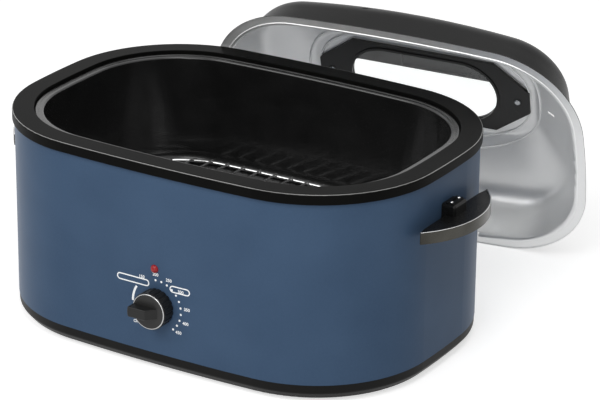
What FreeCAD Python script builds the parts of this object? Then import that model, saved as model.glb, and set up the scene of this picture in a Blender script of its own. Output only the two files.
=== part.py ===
"""Electric roaster oven: oval body, lift-out pan and rack, turning knob, lid stood behind the body."""
import FreeCAD
import Part
import math
import os
from FreeCAD import Vector

# All lengths are millimetres and all angles are degrees.
# The front is -Y. Pieces are drawn about the middle of the oval body, and the last step moves them
# all by one distance, so that the origin is on the counter under the middle of the whole set.

# Oval plan of the body, eight tangent arcs through these
BODY_HALF_LENGTH = 280.0
BODY_HALF_WIDTH = 197.4
SIDE_BOW_RADIUS = 2408.0
END_BOW_RADIUS = 1050.0
CORNER_RADIUS = 153.8

# Heights of the outside
BODY_HEIGHT = 262.0
FOOT_HEIGHT = 3.0
BASE_BAND_HEIGHT = 19.6
RIM_BAND_HEIGHT = 13.0

# Painted wrap
WRAP_WALL = 0.6

# Base tray
TRAY_WALL = 2.4
TRAY_TOP_INSET = 0.6
TRAY_BOTTOM_INSET = 8.3
TRAY_CHAMFER_HEIGHT = 9.0
TRAY_LIP_HEIGHT = 6.0
TRAY_LIP_GAP = 0.3
TRAY_FLOOR_REACH = 40.0
TRAY_VENT_LENGTH = 60.0
TRAY_VENT_WIDTH = 4.0
TRAY_VENT_PITCH = 16.0
TRAY_VENT_COUNT = 9

# How far a drill or a cutting block runs past what it cuts
DRILL_REACH = 20.0

# Feet under the tray
FOOT_RADIUS = 11.0
FOOT_STEM_RADIUS = 3.5
FOOT_STEM_GAP = 0.1
FOOT_STEM_HEAD_RADIUS = 5.5
FOOT_STEM_HEAD_HEIGHT = 2.0
FOOT_SPAN_X = 350.0
FOOT_SPAN_Y = 210.0

# Top collar
COLLAR_WALL = 2.5
COLLAR_OVERHANG = 2.8
COLLAR_EDGE_RADIUS = 2.4
COLLAR_SKIRT_RADIUS = 0.5
COLLAR_LEDGE_RADIUS = 0.4
COLLAR_TOP_WIDTH = 24.0
COLLAR_STEP_RADIUS = 0.9
COLLAR_LEDGE_WALL = 1.4
COLLAR_LEDGE_WIDTH = 9.5
COLLAR_SKIRT_GAP = 0.3

# Roasting pan, hung by its flange on the collar's ledge
PAN_WALL = 0.8
PAN_STEP_DOWN = 4.0
PAN_FLANGE_GAP = 1.0
PAN_CAVITY_INSET = 36.0
PAN_FLANGE_HEM = 2.4
PAN_FLANGE_STEP_INSET = 30.0
PAN_FLANGE_STEP = 0.8
PAN_FLANGE_RADIUS = 2.6
PAN_HEM_RADIUS = 1.2
PAN_DEPTH = 150.0
PAN_DRAFT = 3.0
PAN_FLOOR_RADIUS = 26.0
PAN_FLOOR_REACH = 92.0
PAN_SEAT_GAP = 0.3

# Heating well around the pan
WELL_WALL = 0.6
WELL_SIDE_GAP = 1.5
WELL_FLOOR_GAP = 7.0
WELL_FLOOR_RADIUS = 28.0
WELL_FLANGE_WIDTH = 8.0

# Heating band round the well and the blanket over it
BAND_THICKNESS = 1.2
BAND_HEIGHT = 42.0
BAND_LIFT = 30.0
BAND_FIT_GAP = 0.1
BLANKET_THICKNESS = 12.0
BLANKET_HEIGHT = 128.0
BLANKET_LIFT = 16.0
BLANKET_FIT_GAP = 0.2
TERMINAL_RADIUS = 2.5
TERMINAL_LENGTH = 9.0
TERMINAL_SPACING = 24.0
TERMINAL_X = -78.0
TERMINAL_ROOT = 0.6
TERMINAL_NOTCH_MARGIN = 8.0

# Knob, its shaft and the thermostat behind the front wall
KNOB_X = 4.0
KNOB_DROP = 178.0
KNOB_RADIUS = 23.0
KNOB_DEPTH = 18.5
KNOB_WALL_GAP = 1.2
KNOB_BEVEL = 2.2
KNOB_LOBES = 20
KNOB_GROOVE_RADIUS = 2.0
KNOB_GROOVE_DEPTH = 0.9
KNOB_GRIP_WIDTH = 13.0
KNOB_GRIP_HEIGHT = 12.0
KNOB_GRIP_TAIL = 15.0
KNOB_BORE_DEPTH = 14.0
KNOB_REST_ANGLE = 180.0
SHAFT_RADIUS = 3.0
SHAFT_FLAT_DEPTH = 0.7
SHAFT_FIT_GAP = 0.05
SHAFT_HOLE_GAP = 1.2
SHAFT_IN_BODY = 16.0
THERMOSTAT_WIDTH = 44.0
THERMOSTAT_HEIGHT = 34.0
THERMOSTAT_DEPTH = 24.0
THERMOSTAT_PLATE = 1.6
THERMOSTAT_SCREW_SPACING = 28.0
THERMOSTAT_FIT_GAP = 0.15
SMALL_SCREW_RADIUS = 1.9
SMALL_SCREW_HEAD_RADIUS = 3.4
SMALL_SCREW_HEAD_HEIGHT = 1.0
SMALL_SCREW_LENGTH = 7.0
SCREW_HOLE_GAP = 0.1

# Capillary bulb clipped under the well
BULB_RADIUS = 3.0
BULB_LENGTH = 90.0
BULB_CLIP_WALL = 1.0
BULB_CLIP_WIDTH = 12.0
CAPILLARY_RADIUS = 0.8
CAPILLARY_BEND = 10.0

# Indicator lamp
LAMP_X = 0.4
LAMP_RISE = 47.0
LENS_RADIUS = 5.2
LENS_DOME_HEIGHT = 4.2
LENS_STEM_RADIUS = 3.6
LENS_STEM_LENGTH = 9.0
LAMP_HOLE_GAP = 0.2
LAMP_BODY_RADIUS = 6.5
LAMP_BODY_LENGTH = 14.0

# Side handles
HANDLE_HALF_CHORD = 80.4
HANDLE_END_STAND = 9.2
HANDLE_BOW = 33.1
HANDLE_TOP_DROP = 60.8
HANDLE_TRIM_HEIGHT = 14.5
HANDLE_TRIM_WALL = 1.8
HANDLE_TRIM_STAND = 1.0
HANDLE_TRIM_FIT = 0.1
HANDLE_INNER_STAND = 5.5
HANDLE_INNER_HALF = 66.0
HANDLE_RECESS_DEPTH = 3.0
HANDLE_RECESS_MARGIN = 5.0
NECK_HALF_WIDTH = 15.0
NECK_REACH = 18.0
NECK_RISE = 12.3
NECK_DROP = 19.2
NECK_EDGE_RADIUS = 3.0
NECK_RIB_WIDTH = 2.6
NECK_RIB_HEIGHT = 1.6
NECK_RIB_LENGTH = 25.0
NECK_RIB_PITCH = 7.0
NECK_RIB_COUNT = 2
NECK_SEAT_GAP = 0.1
HANDLE_SCREW_RADIUS = 2.4
HANDLE_SCREW_HEAD_RADIUS = 4.6
HANDLE_SCREW_HEAD_HEIGHT = 3.0
HANDLE_SCREW_LENGTH = 16.0
HANDLE_SCREW_SPACING = 17.0
HANDLE_SCREW_DROP = 3.2
BACK_PLATE_WIDTH = 40.0
BACK_PLATE_HEIGHT = 24.0
BACK_PLATE_WALL = 2.0

# Cord bushing at the back, terminal block beside it
BUSHING_X = 60.0
BUSHING_Z = 50.0
BUSHING_RADIUS = 9.0
BUSHING_FLANGE_WALL = 2.5
BUSHING_NECK_RADIUS = 6.5
BUSHING_NECK_LENGTH = 8.0
BUSHING_BORE_RADIUS = 4.0
BUSHING_HOLE_GAP = 0.2
BLOCK_LENGTH = 46.0
BLOCK_WIDTH = 20.0
BLOCK_HEIGHT = 18.0
BLOCK_X = 110.0
BLOCK_Y = 120.0
BLOCK_WAYS = 3
BLOCK_WAY_RADIUS = 2.6

# Screws that hold the tray
TRAY_POST_RADIUS = 5.0
TRAY_POST_SPAN_X = 250.0
TRAY_POST_SPAN_Y = 130.0
TRAY_SCREW_RADIUS = 2.0
TRAY_SCREW_HEAD_RADIUS = 4.0
TRAY_SCREW_HEAD_HEIGHT = 2.2
TRAY_SCREW_LENGTH = 16.0

# Wire rack in the pan
RACK_WIRE_RADIUS = 2.0
RACK_CROSS_RADIUS = 1.3
RACK_LONG_RADIUS = 1.7
RACK_LEG_RADIUS = 1.4
RACK_WELD = 0.3
RACK_EDGE_GAP = 8.0
RACK_STAND = 14.0
RACK_PITCH = 23.5
RACK_LEG_X = 120.0
RACK_LEG_Y = 60.0
RACK_FLOOR_GAP = 0.3

# Lid: its own oval, drawn as it sits closed, with the dome up
LID_END_GAP = 7.8
LID_SIDE_GAP = 1.2
LID_CORNER_EASE = 9.2
LID_BOW_CUT = 30.0
LID_WALL = 1.0
LID_FLANGE_WIDTH = 17.0
LID_STEP_INSET = 11.0
LID_STEP_HEIGHT = 0.8
LID_HEM_RADIUS = 1.2
LID_FOOT_RADIUS = 4.0
LID_DOME_HEIGHT = 103.0
LID_SHOULDER_DROP = 34.75
LID_SHOULDER_RADIUS = 30.0
LID_SIDE_SHOULDER = 18.5
LID_END_SHOULDER = 38.9
LID_SHOULDER_BOW = 1021.0
LID_SHOULDER_CORNER = 80.0
LID_CROWN_RADIUS = 12.0
LID_SIDE_FLAT = 103.0
LID_END_FLAT = 97.0
LID_FLAT_CORNER = 45.0
LID_DOME_STEPS = 14
VENT_X = 176.0
VENT_LENGTH = 11.0
VENT_WIDTH = 2.6

# Lid stood behind the body
PARK_X = 59.8
PARK_LEAN = 22.2
PARK_YAW = 9.44
PARK_ROLL = 2.57
PARK_GAP = 0.4

# Window in the lid, its frames, and the long handle over it
OPENING_HALF_LENGTH = 99.4
OPENING_END_RADIUS = 48.0
FRAME_HALF_LENGTH = 144.0
FRAME_TIP_HALF = 16.6
FRAME_SHOULDER_X = 96.0
FRAME_HALF_WIDTH = 56.8
FRAME_CORNER_RADIUS = 3.0
FRAME_THICKNESS = 4.0
FRAME_LIP = 1.3
FRAME_REBATE = 4.4
FRAME_RING_WIDTH = 3.5
FRAME_RING_HEIGHT = 1.2
OUTER_FRAME_THICKNESS = 3.0
GLASS_THICKNESS = 2.9
GLASS_EDGE_GAP = 0.4
GASKET_WIDTH = 4.0
LID_SCREW_X = 127.6
LID_SCREW_RADIUS = 2.2
LID_SCREW_HEAD_RADIUS = 4.2
LID_SCREW_HEAD_HEIGHT = 2.4
LID_SCREW_LENGTH = 26.0
GRIP_HALF_LENGTH = 140.0
GRIP_HALF_WIDTH = 15.0
GRIP_THICKNESS = 17.0
GRIP_CLEARANCE = 34.0
GRIP_LEG_LENGTH = 24.0
GRIP_ARCH_RISE = 5.0
GRIP_EDGE_RADIUS = 4.0
GRIP_RECESS_HALF_LENGTH = 45.0
GRIP_RECESS_HALF_WIDTH = 10.0
GRIP_RECESS_DEPTH = 3.5

# Levels worked out from the sizes above
BASE_Z = FOOT_HEIGHT
WRAP_BOTTOM_Z = BASE_Z + BASE_BAND_HEIGHT
WRAP_TOP_Z = BODY_HEIGHT - COLLAR_WALL
RIM_BOTTOM_Z = BODY_HEIGHT - RIM_BAND_HEIGHT
PAN_TOP_Z = BODY_HEIGHT - PAN_STEP_DOWN
LEDGE_TOP_Z = PAN_TOP_Z - PAN_FLANGE_HEM - PAN_SEAT_GAP
LEDGE_BOTTOM_Z = LEDGE_TOP_Z - COLLAR_LEDGE_WALL
PAN_FLOOR_Z = PAN_TOP_Z - PAN_DEPTH
PAN_UNDER_Z = PAN_FLOOR_Z - PAN_WALL
WELL_FLOOR_Z = PAN_UNDER_Z - WELL_FLOOR_GAP
WELL_UNDER_Z = WELL_FLOOR_Z - WELL_WALL
TRAY_FLOOR_Z = BASE_Z + TRAY_WALL
WELL_INSET = PAN_CAVITY_INSET - PAN_WALL - WELL_SIDE_GAP
DRAFT_SLOPE = math.tan(math.radians(PAN_DRAFT))
KNOB_Z = BODY_HEIGHT - KNOB_DROP
LAMP_Z = KNOB_Z + LAMP_RISE
HANDLE_END_X = BODY_HALF_LENGTH + HANDLE_END_STAND
HANDLE_INNER_X = BODY_HALF_LENGTH + HANDLE_INNER_STAND
HANDLE_TOP_Z = BODY_HEIGHT - HANDLE_TOP_DROP
HANDLE_SCREW_Z = HANDLE_TOP_Z - HANDLE_SCREW_DROP
NECK_TOP_Z = HANDLE_TOP_Z + NECK_RISE
NECK_BOTTOM_Z = HANDLE_TOP_Z - NECK_DROP
LID_HALF_LENGTH = BODY_HALF_LENGTH - COLLAR_TOP_WIDTH - LID_END_GAP
LID_HALF_WIDTH = BODY_HALF_WIDTH - COLLAR_TOP_WIDTH - LID_SIDE_GAP
LID_CORNER_RADIUS = CORNER_RADIUS - COLLAR_TOP_WIDTH - LID_CORNER_EASE
LID_FOOT_INSET = LID_FLANGE_WIDTH - LID_WALL
LID_FOOT_Z = LID_WALL + LID_FOOT_RADIUS


def body_plan(offset=0.0):
    """Sizes of the body's oval, grown outwards by offset."""
    return (BODY_HALF_LENGTH + offset, BODY_HALF_WIDTH + offset, SIDE_BOW_RADIUS + offset,
            END_BOW_RADIUS + offset, CORNER_RADIUS + offset)


def lid_plan(offset=0.0):
    """Sizes of the lid's oval, grown outwards by offset."""
    return (LID_HALF_LENGTH + offset, LID_HALF_WIDTH + offset,
            SIDE_BOW_RADIUS - LID_BOW_CUT + offset, END_BOW_RADIUS - LID_BOW_CUT + offset,
            LID_CORNER_RADIUS + offset)


def plan_arcs(plan):
    """The oval's eight arcs, counter-clockwise from the +X end, as centre, radius, start and sweep."""
    length, width, side, end, corner = plan
    side_centre = Vector(0, width - side, 0)
    end_centre = Vector(length - end, 0, 0)
    to_side = side - corner
    to_end = end - corner
    span = end_centre.sub(side_centre)
    distance = span.Length
    unit = span.multiply(1.0 / distance)
    along = (to_side ** 2 - to_end ** 2 + distance ** 2) / (2.0 * distance)
    across = math.sqrt(to_side ** 2 - along ** 2)
    normal = Vector(unit.y, -unit.x, 0)
    centre = side_centre + unit * along + normal * across
    low = math.atan2(centre.y - end_centre.y, centre.x - end_centre.x)
    high = math.atan2(centre.y - side_centre.y, centre.x - side_centre.x)
    half = math.pi / 2.0
    arcs = []
    for turn in range(4):
        flip_x = -1.0 if turn in (1, 2) else 1.0
        flip_y = -1.0 if turn in (2, 3) else 1.0
        middle = Vector(centre.x * flip_x, centre.y * flip_y, 0)
        start = turn * half + (low if turn % 2 == 0 else half - high)
        arcs.append((middle, corner, start, high - low))
        if turn % 2 == 0:
            arcs.append((Vector(0, side_centre.y * flip_y, 0), side, turn * half + high, 2.0 * (half - high)))
        else:
            arcs.append((Vector(end_centre.x * flip_x, 0, 0), end, (turn + 1) * half - low, 2.0 * low))
    return arcs


def polar(centre, radius, angle, z):
    """The point at an angle round a centre."""
    return Vector(centre.x + radius * math.cos(angle), centre.y + radius * math.sin(angle), z)


def plan_wire(plan, z):
    """The oval as a closed wire at a height."""
    edges = []
    for centre, radius, start, sweep in plan_arcs(plan):
        first = polar(centre, radius, start, z)
        middle = polar(centre, radius, start + sweep / 2.0, z)
        last = polar(centre, radius, start + sweep, z)
        edges.append(Part.Arc(first, middle, last).toShape())
    return Part.Wire(edges)


def plan_prism(plan, low, high):
    """The oval as a solid between two heights."""
    return Part.Face(plan_wire(plan, low)).extrude(Vector(0, 0, high - low))


def plan_reach(plan, direction):
    """How far the oval reaches along a level direction, from the origin."""
    angle = math.atan2(direction.y, direction.x) % (2.0 * math.pi)
    reach = 0.0
    for centre, radius, start, sweep in plan_arcs(plan):
        turned = (angle - start) % (2.0 * math.pi)
        if turned <= sweep + 1e-9:
            reach = centre.dot(direction) + radius * direction.Length
    return reach


def turn_of(before, corner, after):
    """Signed turn at a corner of a flat path, positive to the left."""
    first = corner.sub(before)
    second = after.sub(corner)
    return math.atan2(first.x * second.y - first.y * second.x, first.x * second.x + first.y * second.y)


def path_edges(points, radii, closed=False):
    """Lines and tangent arcs through points, with a radius at each corner."""
    count = len(points)
    starts = list(points)
    ends = list(points)
    arcs = [None] * count
    for i in range(count):
        radius = radii[i]
        inner = closed or 0 < i < count - 1
        if radius <= 0.0 or not inner:
            continue
        before = points[i - 1]
        after = points[(i + 1) % count]
        turn = points[i].sub(before).getAngle(after.sub(points[i]))
        cut = radius * math.tan(turn / 2.0)
        back = before.sub(points[i]).normalize()
        ahead = after.sub(points[i]).normalize()
        starts[i] = points[i] + back * cut
        ends[i] = points[i] + ahead * cut
        inward = (back + ahead).normalize()
        middle = points[i] + inward * (radius / math.cos(turn / 2.0) - radius)
        arcs[i] = Part.Arc(starts[i], middle, ends[i]).toShape()
    edges = []
    for i in range(count):
        if arcs[i] is not None:
            edges.append(arcs[i])
        last = i == count - 1
        if last and not closed:
            break
        first = ends[i]
        second = starts[(i + 1) % count]
        if first.distanceToPoint(second) > 1e-7:
            edges.append(Part.LineSegment(first, second).toShape())
    return edges


def offset_path(points, distance):
    """The flat path moved to its left by a distance, with mitred corners."""
    moved = []
    for i, point in enumerate(points):
        normals = []
        if i > 0:
            along = point.sub(points[i - 1]).normalize()
            normals.append(Vector(-along.y, along.x, 0))
        if i < len(points) - 1:
            along = points[i + 1].sub(point).normalize()
            normals.append(Vector(-along.y, along.x, 0))
        if len(normals) == 1:
            moved.append(point + normals[0] * distance)
            continue
        both = (normals[0] + normals[1]).normalize()
        moved.append(point + both * (distance / both.dot(normals[0])))
    return moved


def offset_radii(points, radii, distance):
    """Corner radii of the path moved to its left by a distance."""
    moved = list(radii)
    for i in range(1, len(points) - 1):
        if radii[i] > 0.0:
            turn = turn_of(points[i - 1], points[i], points[i + 1])
            moved[i] = max(radii[i] - math.copysign(distance, turn), 0.0)
    return moved


def flat(pairs):
    """Points from pairs of distance outwards and height."""
    return [Vector(out, up, 0) for out, up in pairs]


def around(edges, plan):
    """Faces swept by profile edges round the oval. Profile x is the distance outwards, y the height."""
    faces = []
    for centre, radius, start, sweep in plan_arcs(plan):
        stand = FreeCAD.Rotation(Vector(1, 0, 0), 90)
        face_out = FreeCAD.Rotation(Vector(0, 0, 1), math.degrees(start))
        place = FreeCAD.Placement(polar(centre, radius, start, 0), face_out.multiply(stand))
        for edge in edges:
            placed = edge.copy()
            placed.transformShape(place.toMatrix())
            swept = placed.revolve(centre, Vector(0, 0, 1), math.degrees(sweep))
            faces.extend(swept.Faces)
    return faces


def sewn(faces):
    """One closed solid from faces that meet edge to edge."""
    shell = Part.makeShell(faces)
    shell.sewShape()
    solid = Part.makeSolid(shell.Shells[0] if shell.Shells else shell)
    if solid.Volume < 0:
        solid.reverse()
    return solid


def ring(pairs, plan, radii=None):
    """A closed ring: a closed profile carried round the oval."""
    points = flat(pairs)
    return sewn(around(path_edges(points, radii or [0.0] * len(points), True), plan))


def sheet_edges(points, radii, wall, low_end):
    """Edges of a sheet's section, with its wall to the left of the path, and the path's end if asked."""
    other = offset_path(points, wall)
    edges = path_edges(points, radii)
    edges += path_edges(other, offset_radii(points, radii, wall))
    edges.append(Part.LineSegment(points[0], other[0]).toShape())
    if low_end:
        edges.append(Part.LineSegment(points[-1], other[-1]).toShape())
    return edges, other


def sheet_vessel(pairs, radii, wall, grow):
    """A sheet whose path runs from its rim to a flat floor or top, closed by two flat ovals.

    grow gives the oval for a distance outwards. The sheet's wall is to the left of the path.
    """
    points = flat(pairs)
    edges, other = sheet_edges(points, radii, wall, False)
    faces = around(edges, grow(0.0))
    for end in (points[-1], other[-1]):
        faces.append(Part.Face(plan_wire(grow(end.x), end.y)))
    return sewn(faces)


def stadium(half_length, radius, low, high):
    """A straight slot shape with round ends, between two heights."""
    straight = half_length - radius
    corners = [Vector(x * straight, y * radius, low) for x, y in ((1, -1), (1, 1), (-1, 1), (-1, -1))]
    right = Part.Arc(corners[0], Vector(half_length, 0, low), corners[1])
    left = Part.Arc(corners[2], Vector(-half_length, 0, low), corners[3])
    top = Part.LineSegment(corners[1], corners[2])
    bottom = Part.LineSegment(corners[3], corners[0])
    wire = Part.Wire([right.toShape(), top.toShape(), left.toShape(), bottom.toShape()])
    return Part.Face(wire).extrude(Vector(0, 0, high - low))


def box(low, high):
    """A block between two corners."""
    size = high.sub(low)
    return Part.makeBox(size.x, size.y, size.z, low)


def rod(radius, start, end):
    """A round bar between two points."""
    along = end.sub(start)
    return Part.makeCylinder(radius, along.Length, start, along)


def side_y(x, offset=0.0):
    """How far the long side lies from the middle line at a place along it."""
    radius = SIDE_BOW_RADIUS + offset
    return BODY_HALF_WIDTH - SIDE_BOW_RADIUS + math.sqrt(radius ** 2 - x ** 2)


def end_x(y, offset=0.0):
    """How far the short end lies from the middle line at a place along it."""
    radius = END_BOW_RADIUS + offset
    return BODY_HALF_LENGTH - END_BOW_RADIUS + math.sqrt(radius ** 2 - y ** 2)


def four_places(span_x, span_y, z):
    """Four points on a rectangle about the middle."""
    places = []
    for side_x in (-0.5, 0.5):
        for side in (-0.5, 0.5):
            places.append(Vector(side_x * span_x, side * span_y, z))
    return places


def foot_places():
    return four_places(FOOT_SPAN_X, FOOT_SPAN_Y, 0.0)


def tray_screw_places():
    return four_places(TRAY_POST_SPAN_X, TRAY_POST_SPAN_Y, BASE_Z)


def through_front(x, z, radius):
    """A drill along Y through the front wall."""
    start = Vector(x, -BODY_HALF_WIDTH - DRILL_REACH, z)
    return rod(radius, start, start + Vector(0, 2.0 * DRILL_REACH, 0))


def handle_screw_ys():
    return (-HANDLE_SCREW_SPACING / 2.0, HANDLE_SCREW_SPACING / 2.0)


def outer_wrap():
    """Painted steel band of the body, with the holes for what is fixed to it."""
    wrap = ring([(-WRAP_WALL, WRAP_BOTTOM_Z), (0.0, WRAP_BOTTOM_Z), (0.0, WRAP_TOP_Z),
                 (-WRAP_WALL, WRAP_TOP_Z)], body_plan())
    tools = [through_front(KNOB_X, KNOB_Z, SHAFT_RADIUS + SHAFT_HOLE_GAP)]
    tools.append(through_front(LAMP_X, LAMP_Z, LENS_STEM_RADIUS + LAMP_HOLE_GAP))
    for side in (-0.5, 0.5):
        x = KNOB_X + side * THERMOSTAT_SCREW_SPACING
        tools.append(through_front(x, KNOB_Z, SMALL_SCREW_RADIUS + SCREW_HOLE_GAP))
    for y in handle_screw_ys():
        start = Vector(-BODY_HALF_LENGTH - DRILL_REACH, y, HANDLE_SCREW_Z)
        end = Vector(BODY_HALF_LENGTH + DRILL_REACH, y, HANDLE_SCREW_Z)
        tools.append(rod(HANDLE_SCREW_RADIUS + SCREW_HOLE_GAP, start, end))
    start = Vector(BUSHING_X, BODY_HALF_WIDTH - DRILL_REACH, BUSHING_Z)
    end = start + Vector(0, 2.0 * DRILL_REACH, 0)
    tools.append(rod(BUSHING_NECK_RADIUS + BUSHING_HOLE_GAP, start, end))
    return wrap.cut(tools)


def base_tray():
    """Black tray that closes the body underneath and carries the wrap's lower edge."""
    lip_out = -WRAP_WALL - TRAY_LIP_GAP
    lip_in = lip_out - TRAY_WALL
    knee = BASE_Z + TRAY_CHAMFER_HEIGHT
    lip_top = WRAP_BOTTOM_Z + TRAY_LIP_HEIGHT
    bottom_in = -TRAY_BOTTOM_INSET - TRAY_WALL / 2.0
    points = flat([(-TRAY_FLOOR_REACH, TRAY_FLOOR_Z), (bottom_in, TRAY_FLOOR_Z), (lip_in, knee),
                   (lip_in, lip_top), (lip_out, lip_top), (lip_out, WRAP_BOTTOM_Z),
                   (-TRAY_TOP_INSET, WRAP_BOTTOM_Z), (-TRAY_TOP_INSET, knee),
                   (-TRAY_BOTTOM_INSET, BASE_Z), (-TRAY_FLOOR_REACH, BASE_Z)])
    soft = TRAY_WALL
    radii = [0.0, soft, soft, 0.0, 0.0, 0.0, 0.0, 2.0 * soft, soft, 0.0]
    faces = around(path_edges(points, radii), body_plan())
    for z in (TRAY_FLOOR_Z, BASE_Z):
        faces.append(Part.Face(plan_wire(body_plan(-TRAY_FLOOR_REACH), z)))
    tray = sewn(faces)
    tools = []
    for place in foot_places():
        tools.append(rod(FOOT_STEM_RADIUS + FOOT_STEM_GAP, place, place + Vector(0, 0, 2.0 * TRAY_FLOOR_Z)))
    for place in tray_screw_places():
        start = place - Vector(0, 0, 1.0)
        tools.append(rod(TRAY_SCREW_RADIUS + SCREW_HOLE_GAP, start, start + Vector(0, 0, 3.0 * TRAY_WALL)))
    for i in range(TRAY_VENT_COUNT):
        x = (i - (TRAY_VENT_COUNT - 1) / 2.0) * TRAY_VENT_PITCH
        vent = stadium(TRAY_VENT_LENGTH / 2.0, TRAY_VENT_WIDTH / 2.0, 0.0, 2.0 * TRAY_FLOOR_Z)
        vent.rotate(Vector(0, 0, 0), Vector(0, 0, 1), 90)
        vent.translate(Vector(x, 0, 0))
        tools.append(vent)
    return tray.cut(tools)


def feet():
    """Four soft feet with stems pushed through the tray."""
    shapes = []
    for place in foot_places():
        pad = rod(FOOT_RADIUS, place, place + Vector(0, 0, FOOT_HEIGHT))
        stem_top = TRAY_FLOOR_Z + FOOT_STEM_HEAD_HEIGHT
        stem = rod(FOOT_STEM_RADIUS, place, Vector(place.x, place.y, stem_top))
        head = rod(FOOT_STEM_HEAD_RADIUS, Vector(place.x, place.y, TRAY_FLOOR_Z),
                   Vector(place.x, place.y, stem_top))
        shapes.append(pad.fuse([stem, head]).removeSplitter())
    return Part.makeCompound(shapes)


def top_collar():
    """Black collar over the wrap's upper edge, stepped down inside to a ledge for the pan."""
    skirt_in = COLLAR_SKIRT_GAP
    step = -COLLAR_TOP_WIDTH
    under = WRAP_TOP_Z
    pairs = [(COLLAR_OVERHANG, RIM_BOTTOM_Z), (COLLAR_OVERHANG, BODY_HEIGHT), (step, BODY_HEIGHT),
             (step, LEDGE_TOP_Z), (step - COLLAR_LEDGE_WIDTH, LEDGE_TOP_Z),
             (step - COLLAR_LEDGE_WIDTH, LEDGE_BOTTOM_Z), (step + COLLAR_LEDGE_WALL, LEDGE_BOTTOM_Z),
             (step + COLLAR_LEDGE_WALL, under), (skirt_in, under), (skirt_in, RIM_BOTTOM_Z)]
    radii = [COLLAR_SKIRT_RADIUS, COLLAR_EDGE_RADIUS, COLLAR_STEP_RADIUS, 0.0, COLLAR_LEDGE_RADIUS,
             0.0, 0.0, 0.0, 0.0, 0.0]
    return ring(pairs, body_plan(), radii)


def well_outside(z):
    """Distance outwards of the well's outer face at a height."""
    wall = WELL_WALL / math.cos(math.radians(PAN_DRAFT))
    return wall - WELL_INSET - DRAFT_SLOPE * (LEDGE_BOTTOM_Z - z)


def heating_well():
    """Steel well that hangs under the collar's ledge and holds the pan in warm air."""
    floor_inset = WELL_INSET + DRAFT_SLOPE * (LEDGE_BOTTOM_Z - WELL_FLOOR_Z)
    pairs = [(WELL_FLANGE_WIDTH - WELL_INSET, LEDGE_BOTTOM_Z), (-WELL_INSET, LEDGE_BOTTOM_Z),
             (-floor_inset, WELL_FLOOR_Z), (-PAN_FLOOR_REACH, WELL_FLOOR_Z)]
    return sheet_vessel(pairs, [0.0, 0.0, WELL_FLOOR_RADIUS, 0.0], WELL_WALL, body_plan)


def roasting_pan():
    """Lift-out roasting pan with a turned-down flange."""
    rim = -COLLAR_TOP_WIDTH - PAN_FLANGE_GAP
    low = PAN_TOP_Z - PAN_FLANGE_STEP
    floor_inset = PAN_CAVITY_INSET + DRAFT_SLOPE * PAN_DEPTH
    pairs = [(rim, PAN_TOP_Z - PAN_FLANGE_HEM), (rim, PAN_TOP_Z),
             (PAN_FLANGE_STEP - PAN_FLANGE_STEP_INSET, PAN_TOP_Z), (-PAN_FLANGE_STEP_INSET, low),
             (-PAN_CAVITY_INSET, low), (-floor_inset, PAN_FLOOR_Z), (-PAN_FLOOR_REACH, PAN_FLOOR_Z)]
    radii = [0.0, PAN_HEM_RADIUS, 0.0, 0.0, PAN_FLANGE_RADIUS, PAN_FLOOR_RADIUS, 0.0]
    return sheet_vessel(pairs, radii, PAN_WALL, body_plan)


def half_width_at(x, plan):
    """How far the oval reaches from the middle line at a place along its length."""
    reach = 0.0
    for centre, radius, start, sweep in plan_arcs(plan):
        inside = radius ** 2 - (x - centre.x) ** 2
        if inside <= 0.0:
            continue
        y = centre.y + math.sqrt(inside)
        angle = math.atan2(y - centre.y, x - centre.x)
        if (angle - start) % (2.0 * math.pi) <= sweep + 1e-9:
            reach = max(reach, y)
    return reach


def wire_rack():
    """Low wire rack on the pan's floor: rim, two long wires, cross wires welded on top, and four legs."""
    plan = body_plan(-PAN_CAVITY_INSET - DRAFT_SLOPE * PAN_DEPTH - RACK_EDGE_GAP)
    floor = PAN_FLOOR_Z + RACK_FLOOR_GAP
    z = floor + RACK_STAND
    cross_z = z + RACK_WIRE_RADIUS + RACK_CROSS_RADIUS - RACK_WELD
    long_z = cross_z - RACK_CROSS_RADIUS - RACK_LONG_RADIUS + RACK_WELD / 2.0
    circle = Part.Circle(Vector(0, z, 0), Vector(0, 0, 1), RACK_WIRE_RADIUS).toShape()
    rim = sewn(around([circle], plan))
    bars = []
    count = int((plan[0] - RACK_PITCH / 2.0) / RACK_PITCH)
    for i in range(-count, count + 1):
        x = i * RACK_PITCH
        reach = half_width_at(x, plan) + RACK_CROSS_RADIUS / 2.0
        bars.append(rod(RACK_CROSS_RADIUS, Vector(x, -reach, cross_z), Vector(x, reach, cross_z)))
    for side in (-1.0, 1.0):
        y = side * RACK_LEG_Y
        reach = plan[0] - plan[3] + math.sqrt(plan[3] ** 2 - y ** 2)
        bars.append(rod(RACK_LONG_RADIUS, Vector(-reach, y, long_z), Vector(reach, y, long_z)))
        for end in (-1.0, 1.0):
            foot = Vector(end * RACK_LEG_X, y, floor)
            bars.append(rod(RACK_LEG_RADIUS, foot, Vector(foot.x, foot.y, long_z)))
    return rim.fuse(bars)


def band_profile(low, high, near, thickness):
    """Profile of a band that follows the well's outer face."""
    return [(well_outside(low) + near, low), (well_outside(low) + near + thickness, low),
            (well_outside(high) + near + thickness, high), (well_outside(high) + near, high)]


def terminal_places():
    """Where the two terminals stand out of the heating band, at the band's face."""
    z = WELL_FLOOR_Z + BAND_LIFT + BAND_HEIGHT / 2.0
    face = well_outside(z) + BAND_FIT_GAP + BAND_THICKNESS
    places = []
    for side in (-0.5, 0.5):
        x = TERMINAL_X + side * TERMINAL_SPACING
        places.append(Vector(x, -side_y(x, face), z))
    return places


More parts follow.
